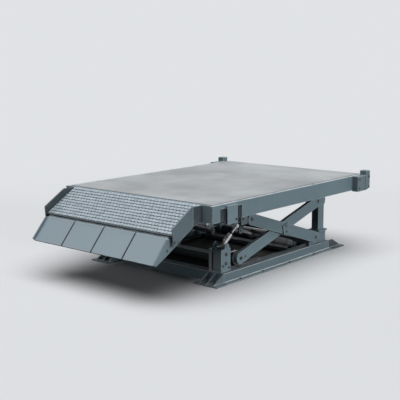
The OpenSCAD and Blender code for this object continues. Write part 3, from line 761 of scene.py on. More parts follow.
@dataclass(frozen=True)
class PaintFinish(Finish):
    """Satin paint on steel: pale along the edges from wear and a painted edge highlight, paler on top from dust
    and, on the rims, a painted highlight, with faint runs down its sides.
    """

    # Pale edge colour: worn paint, and a painted edge highlight across the wide wear width.
    edge: Colour = (0.52, 0.57, 0.59)
    # Pale tone on faces that look up: dust, and on the rims a painted highlight.
    dust_and_highlight_tone: Colour = (0.30, 0.33, 0.345)
    run_tone: Colour = (0.05, 0.06, 0.065)
    rough: Pair = (0.42, 0.60)
    dust_rough: float = 0.3
    gloss: float = 0.30
    wear_and_highlight: float = 0.85
    wear_and_highlight_width: float = 0.011
    dust_and_highlight: float = 0.5
    runs: float = 0.07
    drift: float = 2.2
    peel: float = 170.0
    bump: Pair = (0.12, 0.0006)

    def dress(self, draft: Draft) -> None:
        """Builds the shading.

        Args:
            draft: The material in the making.
        """
        graph = draft.graph
        tone = draft.drift(self.low, self.high, self.drift)
        worn_and_highlit = draft.effect(Effects.edge_wear_and_highlight(), Radius=self.wear_and_highlight_width, Strength=self.wear_and_highlight)["Mask"]
        dust_and_highlight_mask = draft.effect(Effects.top_dust_and_highlight(), Amount=self.dust_and_highlight)["Mask"]
        streaked = draft.effect(Effects.run_down(), Amount=self.runs)["Mask"]
        paint = graph.mix(streaked, tone["Colour"], self.run_tone)
        paint = graph.mix(dust_and_highlight_mask, paint, self.dust_and_highlight_tone)
        sheen = graph.spread(tone["Cloud"], 0.0, 1.0, *self.rough)
        rough = graph.math("ADD", sheen, graph.math("MULTIPLY", dust_and_highlight_mask, self.dust_rough), clamp=True)
        draft.shade(Base_Color=graph.mix(worn_and_highlit, paint, self.edge), Roughness=rough, Specular_IOR_Level=self.gloss)
        draft.relief(draft.grain((1.0, 1.0, 1.0), self.peel)["Height"], *self.bump)


@dataclass(frozen=True)
class PlateFinish(Finish):
    """Plain rolled plate: soft blotches, a fine drawn grain and scattered scratches."""

    scratch: Colour
    stretch: Point
    rough: Pair
    metallic: float = 0.15
    gloss: float = 0.30
    drift: float = 1.4
    grain: float = 26.0
    scratches: float = 0.35
    wear_and_highlight: float = 0.4
    wear_and_highlight_width: float = 0.004
    bump: Pair = (0.25, 0.0008)

    def dress(self, draft: Draft) -> None:
        """Builds the shading.

        Args:
            draft: The material in the making.
        """
        graph = draft.graph
        tone = draft.drift(self.low, self.high, self.drift)
        grain = draft.grain(self.stretch, self.grain)
        worn_and_highlit = draft.effect(Effects.edge_wear_and_highlight(), Radius=self.wear_and_highlight_width, Strength=self.wear_and_highlight)["Mask"]
        marks = graph.math("MAXIMUM", graph.math("MULTIPLY", grain["Scratch"], self.scratches), worn_and_highlit)
        draft.shade(Base_Color=graph.mix(marks, tone["Colour"], self.scratch),
                    Roughness=graph.spread(tone["Cloud"], 0.0, 1.0, *self.rough),
                    Metallic=self.metallic, Specular_IOR_Level=self.gloss)
        draft.relief(grain["Height"], *self.bump)


@dataclass(frozen=True)
class BrightFinish(Finish):
    """Ground or plated metal with a faint turned grain and a film of oil."""

    rough: Pair
    drift: float = 9.0
    stretch: Point = (1.0, 6.0, 6.0)
    grain: float = 60.0
    bump: Pair = (0.05, 0.0003)

    def dress(self, draft: Draft) -> None:
        """Builds the shading.

        Args:
            draft: The material in the making.
        """
        height = draft.grain(self.stretch, self.grain)["Height"]
        draft.shade(Base_Color=draft.drift(self.low, self.high, self.drift)["Colour"],
                    Roughness=draft.graph.spread(height, 0.3, 0.7, *self.rough), Metallic=1.0)
        draft.relief(height, *self.bump)


@dataclass(frozen=True)
class RubberFinish(Finish):
    """Black sealing rubber with a faint surface texture."""

    rough: Pair = (0.6, 0.8)
    gloss: float = 0.2
    drift: float = 12.0
    grain: float = 260.0
    bump: Pair = (0.2, 0.0005)

    def dress(self, draft: Draft) -> None:
        """Builds the shading.

        Args:
            draft: The material in the making.
        """
        tone = draft.drift(self.low, self.high, self.drift)
        draft.shade(Base_Color=tone["Colour"], Specular_IOR_Level=self.gloss,
                    Roughness=draft.graph.spread(tone["Cloud"], 0.0, 1.0, *self.rough))
        draft.relief(draft.grain((1.0, 1.0, 1.0), self.grain)["Height"], *self.bump)


FINISHES: dict[Coat, Finish] = {
    Coat.FRAME: PaintFinish(Slot.FRAME, (0.135, 0.198, 0.231), (0.161, 0.230, 0.266)),
    # Lighter copy of the frame paint for the skirts and rear header, painted light, with a heavy pale top mask:
    # dust and a painted highlight along the rims.
    Coat.RIM: PaintFinish(Slot.FRAME, (0.146, 0.212, 0.246), (0.174, 0.246, 0.284),
                          dust_and_highlight_tone=(0.49, 0.545, 0.57), dust_and_highlight=3.4, wear_and_highlight=1.0),
    # Darker copy of the frame paint for the side channels and rear corners: painted shade, with stronger pale
    # edges as painted edge highlight.
    Coat.BASE: PaintFinish(Slot.FRAME, (0.120, 0.172, 0.199), (0.144, 0.202, 0.232), wear_and_highlight=1.2),
    # Lighter copy of the frame paint for the front posts, brackets, inner arms and guide posts: painted light.
    Coat.FITTING: PaintFinish(Slot.FRAME, (0.162, 0.236, 0.273), (0.192, 0.272, 0.314)),
    Coat.SHADE: PaintFinish(Slot.FRAME, (0.106, 0.152, 0.176), (0.128, 0.177, 0.203), wear_and_highlight=0.6),
    # Much darker copy of the frame paint for the left ramp cheek: painted shade on its inner face.
    Coat.INNER_SHADE: PaintFinish(Slot.FRAME, (0.040, 0.058, 0.068), (0.050, 0.070, 0.081), wear_and_highlight=0.4, dust_and_highlight=0.1),
    Coat.DARK: PaintFinish(Slot.DARK, (0.075, 0.098, 0.110), (0.098, 0.124, 0.138), wear_and_highlight=0.5),
    # Lighter than the frame paint, for the front header: painted light on its forward face.
    Coat.HEADER: PaintFinish(Slot.DARK, (0.156, 0.214, 0.244), (0.184, 0.246, 0.278), wear_and_highlight=0.25, dust_and_highlight=0.05),
    # Near-black copy of the dark paint for the lip knuckles, rear feet, pocket liners and root plates: painted
    # shade.
    Coat.HINGE: PaintFinish(Slot.DARK, (0.046, 0.060, 0.068), (0.062, 0.079, 0.088), wear_and_highlight=0.2, dust_and_highlight=0.1),
    Coat.LIP: PaintFinish(Slot.LIP, (0.300, 0.375, 0.426), (0.324, 0.400, 0.452), edge=(0.56, 0.61, 0.63),
                          wear_and_highlight=0.5, dust_and_highlight=0.1, runs=0.05, drift=1.2),
    # Darker copy of the lip paint for the lip's cheeks: painted shade.
    Coat.LIP_SIDE: PaintFinish(Slot.LIP, (0.160, 0.222, 0.256), (0.190, 0.258, 0.294), wear_and_highlight=0.5),
    # Pale paint for the channel seams, the beads on top edges, the post flanges and the post tabs: painted
    # highlight.
    Coat.WELD: PaintFinish(Slot.FRAME, (0.40, 0.45, 0.47), (0.52, 0.57, 0.59), wear_and_highlight=0.3, runs=0.0, drift=20.0),
    Coat.DECK: PlateFinish(Slot.DECK, (0.225, 0.240, 0.250), (0.425, 0.446, 0.460), (0.45, 0.468, 0.48),
                           (6.0, 0.35, 1.0), (0.42, 0.62), drift=1.1),
    Coat.TREAD: PlateFinish(Slot.TREAD, (0.330, 0.390, 0.436), (0.478, 0.558, 0.618), (0.60, 0.665, 0.70),
                            (1.0, 3.0, 3.0), (0.36, 0.55), drift=14.0),
    # Near-black plate under the tread: painted shade in the gaps between the bricks and on the bare strip below
    # the last row.
    Coat.TREAD_GROUND: PlateFinish(Slot.TREAD, (0.055, 0.070, 0.080), (0.100, 0.122, 0.136), (0.20, 0.225, 0.24),
                                   (1.0, 3.0, 3.0), (0.5, 0.7), drift=9.0),
    Coat.WORN: PlateFinish(Slot.WORN, (0.070, 0.076, 0.080), (0.150, 0.158, 0.163), (0.32, 0.33, 0.33),
                           (4.0, 1.0, 1.0), (0.35, 0.55), metallic=0.6, drift=8.0),
    # Lighter copy of the worn steel for the deck rollers: painted light on their shaded flanks.
    Coat.ROLLER: PlateFinish(Slot.WORN, (0.170, 0.210, 0.228), (0.250, 0.296, 0.318), (0.42, 0.46, 0.48),
                             (4.0, 1.0, 1.0), (0.40, 0.60), drift=8.0),
    Coat.PIN: BrightFinish(Slot.CHROME, (0.08, 0.085, 0.09), (0.15, 0.155, 0.16), (0.35, 0.5)),
    Coat.CHROME: BrightFinish(Slot.CHROME, (0.44, 0.45, 0.455), (0.60, 0.61, 0.62), (0.20, 0.38)),
    Coat.BARREL: PlateFinish(Slot.CHROME, (0.44, 0.45, 0.46), (0.56, 0.57, 0.58), (0.70, 0.71, 0.72),
                             (1.0, 4.0, 4.0), (0.38, 0.50), metallic=0.6, drift=12.0),
    Coat.ZINC: BrightFinish(Slot.WORN, (0.06, 0.065, 0.07), (0.17, 0.178, 0.185), (0.32, 0.5), drift=40.0),
    # Near-black plate for the pans between the crossbeams: painted shade under the deck.
    Coat.PAN: PlateFinish(Slot.DARK, (0.012, 0.013, 0.014), (0.030, 0.031, 0.033), (0.06, 0.062, 0.065),
                          (2.0, 1.0, 1.0), (0.55, 0.75), metallic=0.0, gloss=0.15, drift=3.0),
    # Black rubber for the lip seams and the glands; on the pocket pads, the lip's end strip and the deck seals it
    # is also painted shade.
    Coat.RUBBER: RubberFinish(Slot.DARK, (0.010, 0.011, 0.012), (0.022, 0.024, 0.026)),
}

SLOT_COATS: dict[Slot, Coat] = {
    Slot.FRAME: Coat.FRAME, Slot.DARK: Coat.DARK, Slot.LIP: Coat.LIP, Slot.DECK: Coat.DECK,
    Slot.TREAD: Coat.TREAD, Slot.WORN: Coat.WORN, Slot.CHROME: Coat.CHROME,
}

COATED_NODES: dict[Coat, tuple[str, ...]] = {
    Coat.RIM: ("skirt_left", "skirt_right", "rear_header"),
    Coat.BASE: ("side_channel_left", "side_channel_right", "rear_corner_left", "rear_corner_right"),
    Coat.FITTING: ("front_post_left", "front_post_right", "front_brackets", "inner_arm_left", "inner_arm_right",
                   "guide_post_left", "guide_post_right"),
    Coat.SHADE: ("ramp_cheek_right", "front_foot_left", "front_foot_right"),
    Coat.INNER_SHADE: ("ramp_cheek_left",),
    # The crossbeams under the deck wear the dark paint instead of the frame paint: painted shade.
    Coat.DARK: ("mid_crossbeam", "cylinder_beam", "rear_crossbeam"),
    Coat.HEADER: ("front_header",),
    Coat.HINGE: ("lip_knuckles", "rear_foot_left", "rear_foot_right"),
    Coat.LIP_SIDE: ("lip_cheeks",),
    Coat.TREAD_GROUND: ("ramp_plate",),
    Coat.ROLLER: ("deck_rollers",),
    Coat.WORN: ("lift_barrels",),
    Coat.PIN: ("hinge_pin",),
    Coat.BARREL: ("front_barrels",),
}
NODE_COATS: dict[str, Coat] = {node: coat for coat, nodes in COATED_NODES.items() for node in nodes}


class Paintshop:
    """Makes each finish once and puts it on pieces and CAD solids."""

    def __init__(self) -> None:
        """Starts with no material made."""
        self.made: dict[Coat, Material] = {}

    def paint(self, piece: Piece, coat: Coat) -> None:
        """Gives a piece one finish all over, made at its first use.

        Args:
            piece: The piece or solid to paint.
            coat: Its finish.
        """
        if coat not in self.made:
            self.made[coat] = FINISHES[coat].make(coat.value)
        piece.data.materials.clear()
        piece.data.materials.append(self.made[coat])

    def paint_solids(self) -> None:
        """Paints every CAD solid with its own finish or that of its slot in the record."""
        for part in frame["record"]["subparts"]:
            node = part["node"]
            coat = NODE_COATS.get(node, SLOT_COATS[Slot(part["material_slot"])])
            self.paint(frame["nodes"][node], coat)
            LOG.info("painted %s with %s", node, coat.value)

    def fit(self, name: str, pieces: Sequence[Piece], body: Body, coat: Coat, smooth: float = 0.0) -> None:
        """Joins finished pieces into one, paints it and sets it riding on its body.

        Args:
            name: The name of the whole.
            pieces: What it is joined from.
            body: The body it moves with.
            coat: Its finish.
            smooth: The angle in degrees below which edges are shaded smooth, or 0 for none.
        """
        piece = Bench.join(name, pieces)
        if smooth:
            Bench.smooth(piece, smooth)
        self.paint(piece, coat)
        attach(piece, body.value)
        LOG.info("%s: %d faces on %s", piece.name, len(piece.data.polygons), body.value)


@dataclass(frozen=True)
class BoltSize:
    """Sizes of a bolt head with its washer, in millimetres."""

    hex_r: float
    head: float
    washer_r: float
    washer: float = 3.0
    stud: float = 0.0


SMALL_BOLT = BoltSize(10.0, 8.0, 13.0)
FRAME_BOLT = BoltSize(15.0, 11.0, 20.0)
ANCHOR_BOLT = BoltSize(17.0, 15.0, 24.0, 4.0, 22.0)


@dataclass(frozen=True)
class BoltSet:
    """Bolts that sit alike on the right and the left side, in millimetres.

    For bolts that point sideways, face is their distance from the middle plane and the points are Y and Z.
    For upright bolts, face is their height and the points are X and Y.
    """

    name: str
    body: Body
    size: BoltSize
    face: float
    points: tuple[Pair, ...]
    upright: bool = False

    def places(self) -> list[Line]:
        """Finds the places of the bolts.

        Returns:
            Where each bolt sits and where its head points.
        """
        if self.upright:
            return [(spot(side * x, y, self.face), UP) for side in SIDES for x, y in self.points]
        return [(spot(side * self.face, y, z), sideways(side)) for side in SIDES for y, z in self.points]


@dataclass
class Fasteners:
    """Hexagon bolts with washers, each size modelled once and copied to its places."""

    shop: Paintshop
    chamfer_share: float = 0.14
    crown_share: float = 0.12
    stud_share: float = 0.55
    washer_soft: float = 0.7 * MM
    stud_soft: float = 1.2 * MM
    turn: float = math.radians(17.0)
    masters: dict[BoltSize, Piece] = field(default_factory=dict)

    def master(self, size: BoltSize) -> Piece:
        """Models one bolt along +Z with the underside of its washer at the origin.

        Args:
            size: Its sizes.

        Returns:
            The bolt.
        """
        if size not in self.masters:
            washer = Bench.round_bar("washer", size.washer_r * MM, size.washer * MM, sides=20)
            Bench.soften(washer, self.washer_soft, segments=1)
            head = Bench.round_bar("head", size.hex_r * MM, size.head * MM, sides=6)
            with Bench.picked(head, Pick.FACES, looks_up):
                bpy.ops.mesh.inset(thickness=self.chamfer_share * size.hex_r * MM)
                bpy.ops.transform.translate(value=(0, 0, self.crown_share * size.head * MM))
            Bench.place(head, Vector((0, 0, size.washer * MM)))
            parts = [head, washer]
            if size.stud:
                stud = Bench.round_bar("stud", self.stud_share * size.hex_r * MM, size.stud * MM, sides=12)
                Bench.soften(stud, self.stud_soft, segments=1)
                Bench.place(stud, Vector((0, 0, (size.washer + 0.5 * size.head) * MM)))
                parts.append(stud)
            self.masters[size] = Bench.join("bolt_master", parts)
        return self.masters[size]

    def fix(self, *sets: BoltSet) -> None:
        """Copies bolts to their places and joins the copies of each set into one piece.

        Args:
            *sets: The sets of bolts.
        """
        for bolts in sets:
            copies = []
            for index, (where, axis) in enumerate(bolts.places()):
                bolt = Bench.copy(self.master(bolts.size))
                Bench.place(bolt, where, axis, self.turn * index)
                copies.append(bolt)
            self.shop.fit(bolts.name, copies, bolts.body, Coat.ZINC)

    def put_away(self) -> None:
        """Removes the masters that the copies were made from."""
        for bolt in self.masters.values():
            bpy.data.objects.remove(bolt)
        self.masters.clear()


@dataclass
class Welder:
    """Weld beads: short ripples of metal along the joints of plates."""

    shop: Paintshop
    ripple: float = 9.0 * MM
    swell: float = 1.22
    flats: int = 7
    smooth: float = 60.0

    def bead(self, start: Vector, end: Vector, radius: float) -> Piece:
        """Models one bead from start to end.

        Args:
            start: Where it starts.
            end: Where it ends.
            radius: Its radius in metres.

        Returns:
            The bead.
        """
        run = end - start
        bead = Bench.round_bar("bead", radius, run.length, self.flats)
        cuts = max(2, int(run.length / self.ripple))
        with Bench.picked(bead, Pick.EDGES, lambda first, second: abs(first.z - second.z) > 0.5 * run.length):
            bpy.ops.mesh.subdivide(number_cuts=cuts)
        step = run.length / (cuts + 1)
        with Bench.picked(bead, Pick.EDGES, lambda first, second: abs(first.z - second.z) < 0.1 * step
                          and round(first.z / step) % 2 == 1):
            bpy.ops.transform.resize(value=(self.swell, self.swell, 1.0))
        Bench.place(bead, start, run.normalized())
        return bead

    def run(self, name: str, lines: Iterable[Line], body: Body, coat: Coat = Coat.FRAME,
            radius: float = 4.5 * MM) -> None:
        """Lays beads of a radius in metres along lines and joins them into one piece."""
        beads = [self.bead(start, end, radius) for start, end in lines]
        self.shop.fit(name, beads, body, coat, self.smooth)


@dataclass
class Ramp:
    """The ramp's raised tread of staggered bricks and the bolts in its cheeks."""

    shop: Paintshop
    bolts: Fasteners
    slope: float = math.radians(31.0)
    brick: Point = (41.5, 33.6, 4.2)
    corner: float = 8.0
    top_share: Point = (0.95, 0.92, 1.0)
    rows: int = 11
    per_row: int = 40
    # Bare strip of the dark plate below the last row: painted shade that widens the dark band at the lip's hinge.
    bare_front: float = 14.0
    pitch: float = 45.0
    cheek_bolts: BoltSet = BoltSet("cheek_bolts", Body.DECK, SMALL_BOLT, 915.0, ((-433, 573), (-377, 561)))

    def brick_row(self, count: int, down: float) -> Piece:
        """Models a row of bricks with cut corners, across the ramp and centred on it.

        Args:
            count: How many bricks there are.
            down: How far the middle of the row lies below the ramp's top edge.

        Returns:
            The row.
        """
        size = [value * MM for value in self.brick]
        row = Bench.block("tread_row", size)
        with Bench.picked(row, Pick.EDGES, lambda first, second: abs(first.z - second.z) > 0.5 * size[2]):
            bpy.ops.mesh.bevel(offset=self.corner * MM, segments=1)
        with Bench.picked(row, Pick.FACES, looks_up):
            bpy.ops.transform.resize(value=self.top_share)
        first = -0.5 * (count - 1) * self.pitch * MM
        Bench.place(row, Vector((first, -down, 0.5 * size[2])))
        Bench.repeat(row, (self.pitch * MM, 0, 0), count)
        return row

    def trim(self, tread: Piece, down: float) -> None:
        """Cuts off what stands over the ends of the even rows and what lies below the last row.

        Args:
            tread: The tread, still level.
            down: How far the end of the last row's space lies below the ramp's top edge.
        """
        reach = 0.5 * self.per_row * self.pitch * MM
        for distance, out in ((reach, sideways(1)), (reach, sideways(-1)), (down, Vector((0, -1, 0)))):
            with Bench.picked(tread, Pick.FACES, lambda centre, normal: True):
                bpy.ops.mesh.bisect(plane_co=out * distance, plane_no=out, use_fill=True, clear_outer=True)

    def build(self) -> None:
        """Models the tread and sets the cheek bolts."""
        low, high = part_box("ramp_plate")
        step = ((high.y - low.y) / math.cos(self.slope) - self.bare_front * MM) / self.rows
        rows = [self.brick_row(self.per_row + odd, (odd + 0.5) * step) for odd in (0, 1)]
        tread = Bench.join("tread_pair", rows)
        Bench.repeat(tread, (0, -2 * step, 0), (self.rows + 1) // 2)
        self.trim(tread, self.rows * step)
        Bench.set_at(tread, Matrix.Translation((0, high.y, high.z)) @ Matrix.Rotation(self.slope, 4, "X"))
        self.shop.fit("ramp_tread", [tread], Body.DECK, Coat.TREAD)
        self.bolts.fix(self.cheek_bolts)


@dataclass
class Lip:
    """The sealing strips and hinge covers of the lip's panels, a black strip on its front end as painted shade and
    the bolts in its cheeks.
    """

    shop: Paintshop
    bolts: Fasteners
    slope: float = math.radians(49.0)
    soft: float = 0.6 * MM
    joints: tuple[float, ...] = (-435.5, 0.0, 435.5)
    strip: Point = (16.0, 284.0, 2.4)
    strip_at: Pair = (-162.0, 10.2)
    # Black strip on the lip's front end: painted shade.
    end_shade_strip: Point = (1716.0, 3.0, 9.4)
    end_shade_strip_at: Pair = (-306.5, 5.0)
    panels: tuple[float, ...] = (-650.5, -218.0, 218.0, 650.5)
    cover: Point = (414.0, 24.0, 1.6)
    cover_at: Pair = (-18.0, 10.6)
    lip_bolts: BoltSet = BoltSet("lip_bolts", Body.LIP, SMALL_BOLT, 871.0, ((-488, 499),))

    def build(self) -> None:
        """Lays the strips and covers, the shade strip on the lip's end, and sets the bolts."""
        low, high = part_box("hinge_pin")
        axis = Matrix.Translation((0, (low.y + high.y) / 2, (low.z + high.z) / 2))
        level = axis @ Matrix.Rotation(self.slope, 4, "X")
        for name, coat, size, across, at in (
            ("lip_seams", Coat.RUBBER, self.strip, self.joints, self.strip_at),
            ("lip_end_shade_strip", Coat.RUBBER, self.end_shade_strip, (0.0,), self.end_shade_strip_at),
            ("lip_covers", Coat.LIP, self.cover, self.panels, self.cover_at),
        ):
            strips = []
            for x in across:
                strip = Bench.block("strip", [value * MM for value in size])
                Bench.soften(strip, self.soft)
                Bench.set_at(strip, level @ Matrix.Translation(Vector((x, *at)) * MM))
                strips.append(strip)
            self.shop.fit(name, strips, Body.LIP, coat)
        self.bolts.fix(self.lip_bolts)


@dataclass
class DeckFrame:
    """Dark liners, pads and root plates as painted shade, hangers, seals that also darken the deck gap as painted
    shade, bolts and welds on the skirts, brackets and rear corners.
    """

    shop: Paintshop
    bolts: Fasteners
    welder: Welder
    # Dark sheets in the pockets beside the brackets: painted shade.
    liners: tuple[Corners, ...] = (
        ((1025, 70, 703), (1027, 147, 823)), ((1025, 388, 703), (1027, 404, 823)),
    )
    pads: tuple[Corners, ...] = (
        ((1025, 308, 703), (1027, 386, 823)), ((1048, 147, 676), (1068, 149, 822)),
    )
    hanger: Corners = ((897, 586, 574), (901, 690, 858))
    hanger_corner: float = 9.0 * MM
    # Dark plate on each cheek's root: painted shade.
    root: Corners = ((909, -168, 702), (912, -47, 866))
    root_drop: float = 20.0 * MM
    plate_soft: float = 0.4 * MM
    near: float = 2.0 * MM
    seal: Pair = (8.0 * MM, 6.5 * MM)
    seal_gap: float = 1.0 * MM
    seal_soft: float = 1.5 * MM
    bolt_sets: tuple[BoltSet, ...] = (
        BoltSet("bracket_bolts", Body.DECK, SMALL_BOLT, 1071.0, ((281, 706),)),
        BoltSet("hanger_bolts", Body.DECK, SMALL_BOLT, 901.0, ((614, 634),)),
        BoltSet("end_post_bolts", Body.DECK, SMALL_BOLT, 1130.0, ((2777, 730), (2777, 850))),
        BoltSet("corner_bolts", Body.DECK, SMALL_BOLT, 1122.0, ((2575, 726), (2575, 832))),
    )
    welds: tuple[Corners, ...] = (
        ((1027, 306, 704), (1027, 306, 822)),
        ((1047, 2535, 704), (1047, 2535, 862)),
        ((1124, 2712, 700), (1124, 2712, 862)),
    )

    def line_pockets(self) -> None:
        """Lines the pockets beside the brackets and pads the front sides of the brackets with dark sheets: painted
        shade.
        """
        for name, sheets, coat in (("pocket_shade_liners", self.liners, Coat.HINGE),
                                   ("pocket_shade_pads", self.pads, Coat.RUBBER)):
            plates = [Bench.sheet(side, corners) for side in SIDES for corners in sheets]
            self.shop.fit(name, plates, Body.DECK, coat)

    def hang_plates(self) -> None:
        """Hangs the plates in front of the outer arms' heads, with rounded lower corners."""
        thick = (self.hanger[1][0] - self.hanger[0][0]) * MM
        foot = spot(*self.hanger[0]).z + self.near
        plates = [Bench.sheet(side, self.hanger, self.plate_soft) for side in SIDES]
        for plate in plates:
            with Bench.picked(plate, Pick.EDGES, lambda first, second: abs(first.x - second.x) > 0.75 * thick
                              and max(first.z, second.z) < foot):
                bpy.ops.mesh.bevel(offset=self.hanger_corner, segments=4)
        self.shop.fit("hanger_plates", plates, Body.DECK, Coat.SHADE)

    def root_shade_plates(self) -> None:
        """Lays the dark plates on the roots of the ramp's cheeks, deeper towards the ramp: painted shade beside
        the header.
        """
        front, foot = (value + self.near for value in spot(*self.root[0]).yz)
        plates = [Bench.sheet(side, self.root, self.plate_soft) for side in SIDES]
        for plate in plates:
            with Bench.picked(plate, Pick.EDGES, lambda first, second: max(first.y, second.y) < front
                              and max(first.z, second.z) < foot):
                bpy.ops.transform.translate(value=(0, 0, -self.root_drop))
        self.shop.fit("root_shade_plates", plates, Body.DECK, Coat.HINGE)

    def deck_seals_and_gap_shade(self) -> None:
        """Lays the dark seals in the gap round the front and the sides of the deck plate; their black also darkens
        the gap as painted shade.
        """
        low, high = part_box("deck_plate")
        width, height = self.seal
        out = high.x + 0.5 * width + self.seal_gap
        length = high.y - low.y
        runs = [((2 * out + width, width, height), (0.0, low.y - 0.5 * width - self.seal_gap))]
        runs += [((width, length, height), (side * out, low.y + 0.5 * length)) for side in SIDES]
        seals = []
        for size, (x, y) in runs:
            seal = Bench.block("seal", size)
            Bench.soften(seal, self.seal_soft)
            Bench.place(seal, Vector((x, y, low.z + 0.5 * height)))
            seals.append(seal)
        self.shop.fit("deck_seals_and_gap_shade", seals, Body.DECK, Coat.RUBBER)

    def build(self) -> None:
        """Fits the sheets and seals, sets the bolts and lays the welds."""
        self.line_pockets()
        self.hang_plates()
        self.root_shade_plates()
        self.deck_seals_and_gap_shade()
        self.bolts.fix(*self.bolt_sets)
        self.welder.run("skirt_welds", on_both_sides(self.welds), Body.DECK)


@dataclass
class BaseFrame:
    """Dark pans as painted shade, lighter post faces as painted light, pale tabs and edge beads as painted
    highlight, bolts and welds on the base frame and its front posts.
    """

    shop: Paintshop
    bolts: Fasteners
    welder: Welder
    tab: Point = (12.0, 92.0, 10.0)
    tab_at: Point = (804.0, 566.0, 292.0)
    tab_corner: float = 4.0 * MM
    tab_soft: float = 1.0 * MM
    post_panel: Corners = ((664, 397, 120), (796, 399, 309))
    post_flange: Corners = ((650, 370, 106), (684, 373, 335))
    beams: tuple[str, ...] = ("front_crossbeam", "mid_crossbeam", "cylinder_beam", "rear_crossbeam")
    pan_gap: float = 3.0 * MM
    pan_rim: Pair = (3.0 * MM, 12.0 * MM)
    bolt_sets: tuple[BoltSet, ...] = (
        BoltSet("anchor_bolts", Body.BASE, ANCHOR_BOLT, 12.0,
                ((705.5, 266), (815.5, 266), (799, 2410), (799, 2520)), upright=True),
        BoltSet("flange_bolts", Body.BASE, SMALL_BOLT, 12.0,
                ((889, 590), (889, 985), (889, 1480), (889, 1975)), upright=True),
        BoltSet("post_bolts", Body.BASE, FRAME_BOLT, 810.0, ((454, 280), (450, 188))),
        BoltSet("post_screws", Body.BASE, SMALL_BOLT, 810.0, ((402, 166), (496, 140))),
    )
    welds: tuple[Corners, ...] = (
        *(((x, 196, 14), (x, 352, 14)) for x in (661, 673, 754.5, 766.5, 848, 860)),
        *(((x, 376, 105), (x, 520, 105)) for x in (650, 810)),
        *(((x, 2350, 14), (x, 2590, 14)) for x in (848, 860)),
    )
    seam: Corners = ((863, 358, 15), (863, 2342, 15))
    seam_r: float = 6.5 * MM
    edge_x: float = 859.0
    edge_ends: Pair = (362.0, 2180.0)
    edge_r: float = 4.0 * MM

    def shade_pans(self) -> None:
        """Models the shallow near-black pans between the crossbeams: painted shade on the floor under the deck."""
        width, height = self.pan_rim
        boxes = [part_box(beam) for beam in self.beams]
        pans = []
        for (_, front), (back, far) in zip(boxes, boxes[1:]):
            reach = min(front.x, far.x) - self.pan_gap
            length = back.y - front.y - 2 * self.pan_gap
            pan = Bench.block("pan", (2 * reach, length, height))
            with Bench.picked(pan, Pick.FACES, looks_up):
                bpy.ops.mesh.inset(thickness=width)
                bpy.ops.mesh.extrude_region_move(TRANSFORM_OT_translate={"value": (0, 0, width - height)})
            Bench.place(pan, Vector((0, (front.y + back.y) / 2, 0.5 * height)))
            pans.append(pan)
        self.shop.fit("shade_pans", pans, Body.BASE, Coat.PAN)

    def face_posts(self) -> None:
        """Lays lighter panels in the front posts' recesses and pale flanges on their inner front edges: painted
        light on the posts' forward faces.
        """
        for name, corners, coat in (("lit_post_panels", self.post_panel, Coat.LIP),
                                    ("lit_post_flanges", self.post_flange, Coat.WELD)):
            self.shop.fit(name, [Bench.sheet(side, corners) for side in SIDES], Body.BASE, coat)

    def post_tabs(self) -> None:
        """Models the flat stops behind the front posts."""
        tabs = []
        for side in SIDES:
            tab = Bench.block("tab", [value * MM for value in self.tab])
            with Bench.picked(tab, Pick.EDGES, lambda first, second: first.y > 0 and second.y > 0
                              and abs(first.z - second.z) > 0.1 * MM):
                bpy.ops.mesh.bevel(offset=self.tab_corner, segments=3)
            Bench.soften(tab, self.tab_soft)
            x, y, z = self.tab_at
            Bench.place(tab, spot(side * x, y, z))
            tabs.append(tab)
        # Pale paint on the tabs: painted highlight.
        self.shop.fit("post_tabs", tabs, Body.BASE, Coat.WELD)

    def light_edges(self) -> list[Line]:
        """Finds the edges that get pale beads as a painted highlight.

        Returns:
            The top edges of the two front crossbeams and of the side channels.
        """
        edges = []
        for beam in self.beams[:2]:
            low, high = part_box(beam)
            edges.append((Vector((low.x, low.y, high.z)), Vector((high.x, low.y, high.z))))
        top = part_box("side_channel_right")[1].z / MM - 1
        front, back = ((self.edge_x, y, top) for y in self.edge_ends)
        return edges + on_both_sides([(front, back)])

    def build(self) -> None:
        """Lays the pans, faces the posts, sets the bolts, fits the tabs and lays the welds."""
        self.shade_pans()
        self.face_posts()
        self.bolts.fix(*self.bolt_sets)
        self.post_tabs()
        self.welder.run("base_welds", on_both_sides(self.welds), Body.BASE)
        # Pale beads on the channel seams and the top edges: painted highlight.
        self.welder.run("highlit_channel_seams", on_both_sides([self.seam]), Body.BASE, Coat.WELD, self.seam_r)
        self.welder.run("highlight_edge_beads", self.light_edges(), Body.BASE, Coat.WELD, self.edge_r)


@dataclass
class Scissor:
    """The bolts that hold the pivot pins and keepers of the arms, each on the body that holds its pin."""

    bolts: Fasteners
    bolt_sets: tuple[BoltSet, ...] = (
        BoltSet("inner_foot_bolts", Body.INNER_ARMS, FRAME_BOLT, 844.0, ((656, 208.5),)),
        BoltSet("outer_head_bolts", Body.OUTER_ARMS, FRAME_BOLT, 894.0, ((779, 603.5),)),
        BoltSet("lug_pin_bolts", Body.DECK, FRAME_BOLT, 844.0, ((2124, 603.5),)),
        BoltSet("anchor_pin_bolts", Body.BASE, FRAME_BOLT, 894.0, ((2001, 208.5),)),
        BoltSet("keeper_bolts", Body.INNER_ARMS, SMALL_BOLT, 904.0, ((1382, 442), (1386, 376))),
        BoltSet("arm_screws", Body.INNER_ARMS, SMALL_BOLT, 840.0, ((731, 214),)),
    )

    def build(self) -> None:
        """Sets the bolts."""
        self.bolts.fix(*self.bolt_sets)


@dataclass(frozen=True)
class Band:
    """A ring round a barrel or a rod, in millimetres: its start from the foot pin, its rise and its width."""

    along: float
    rise: float
    width: float


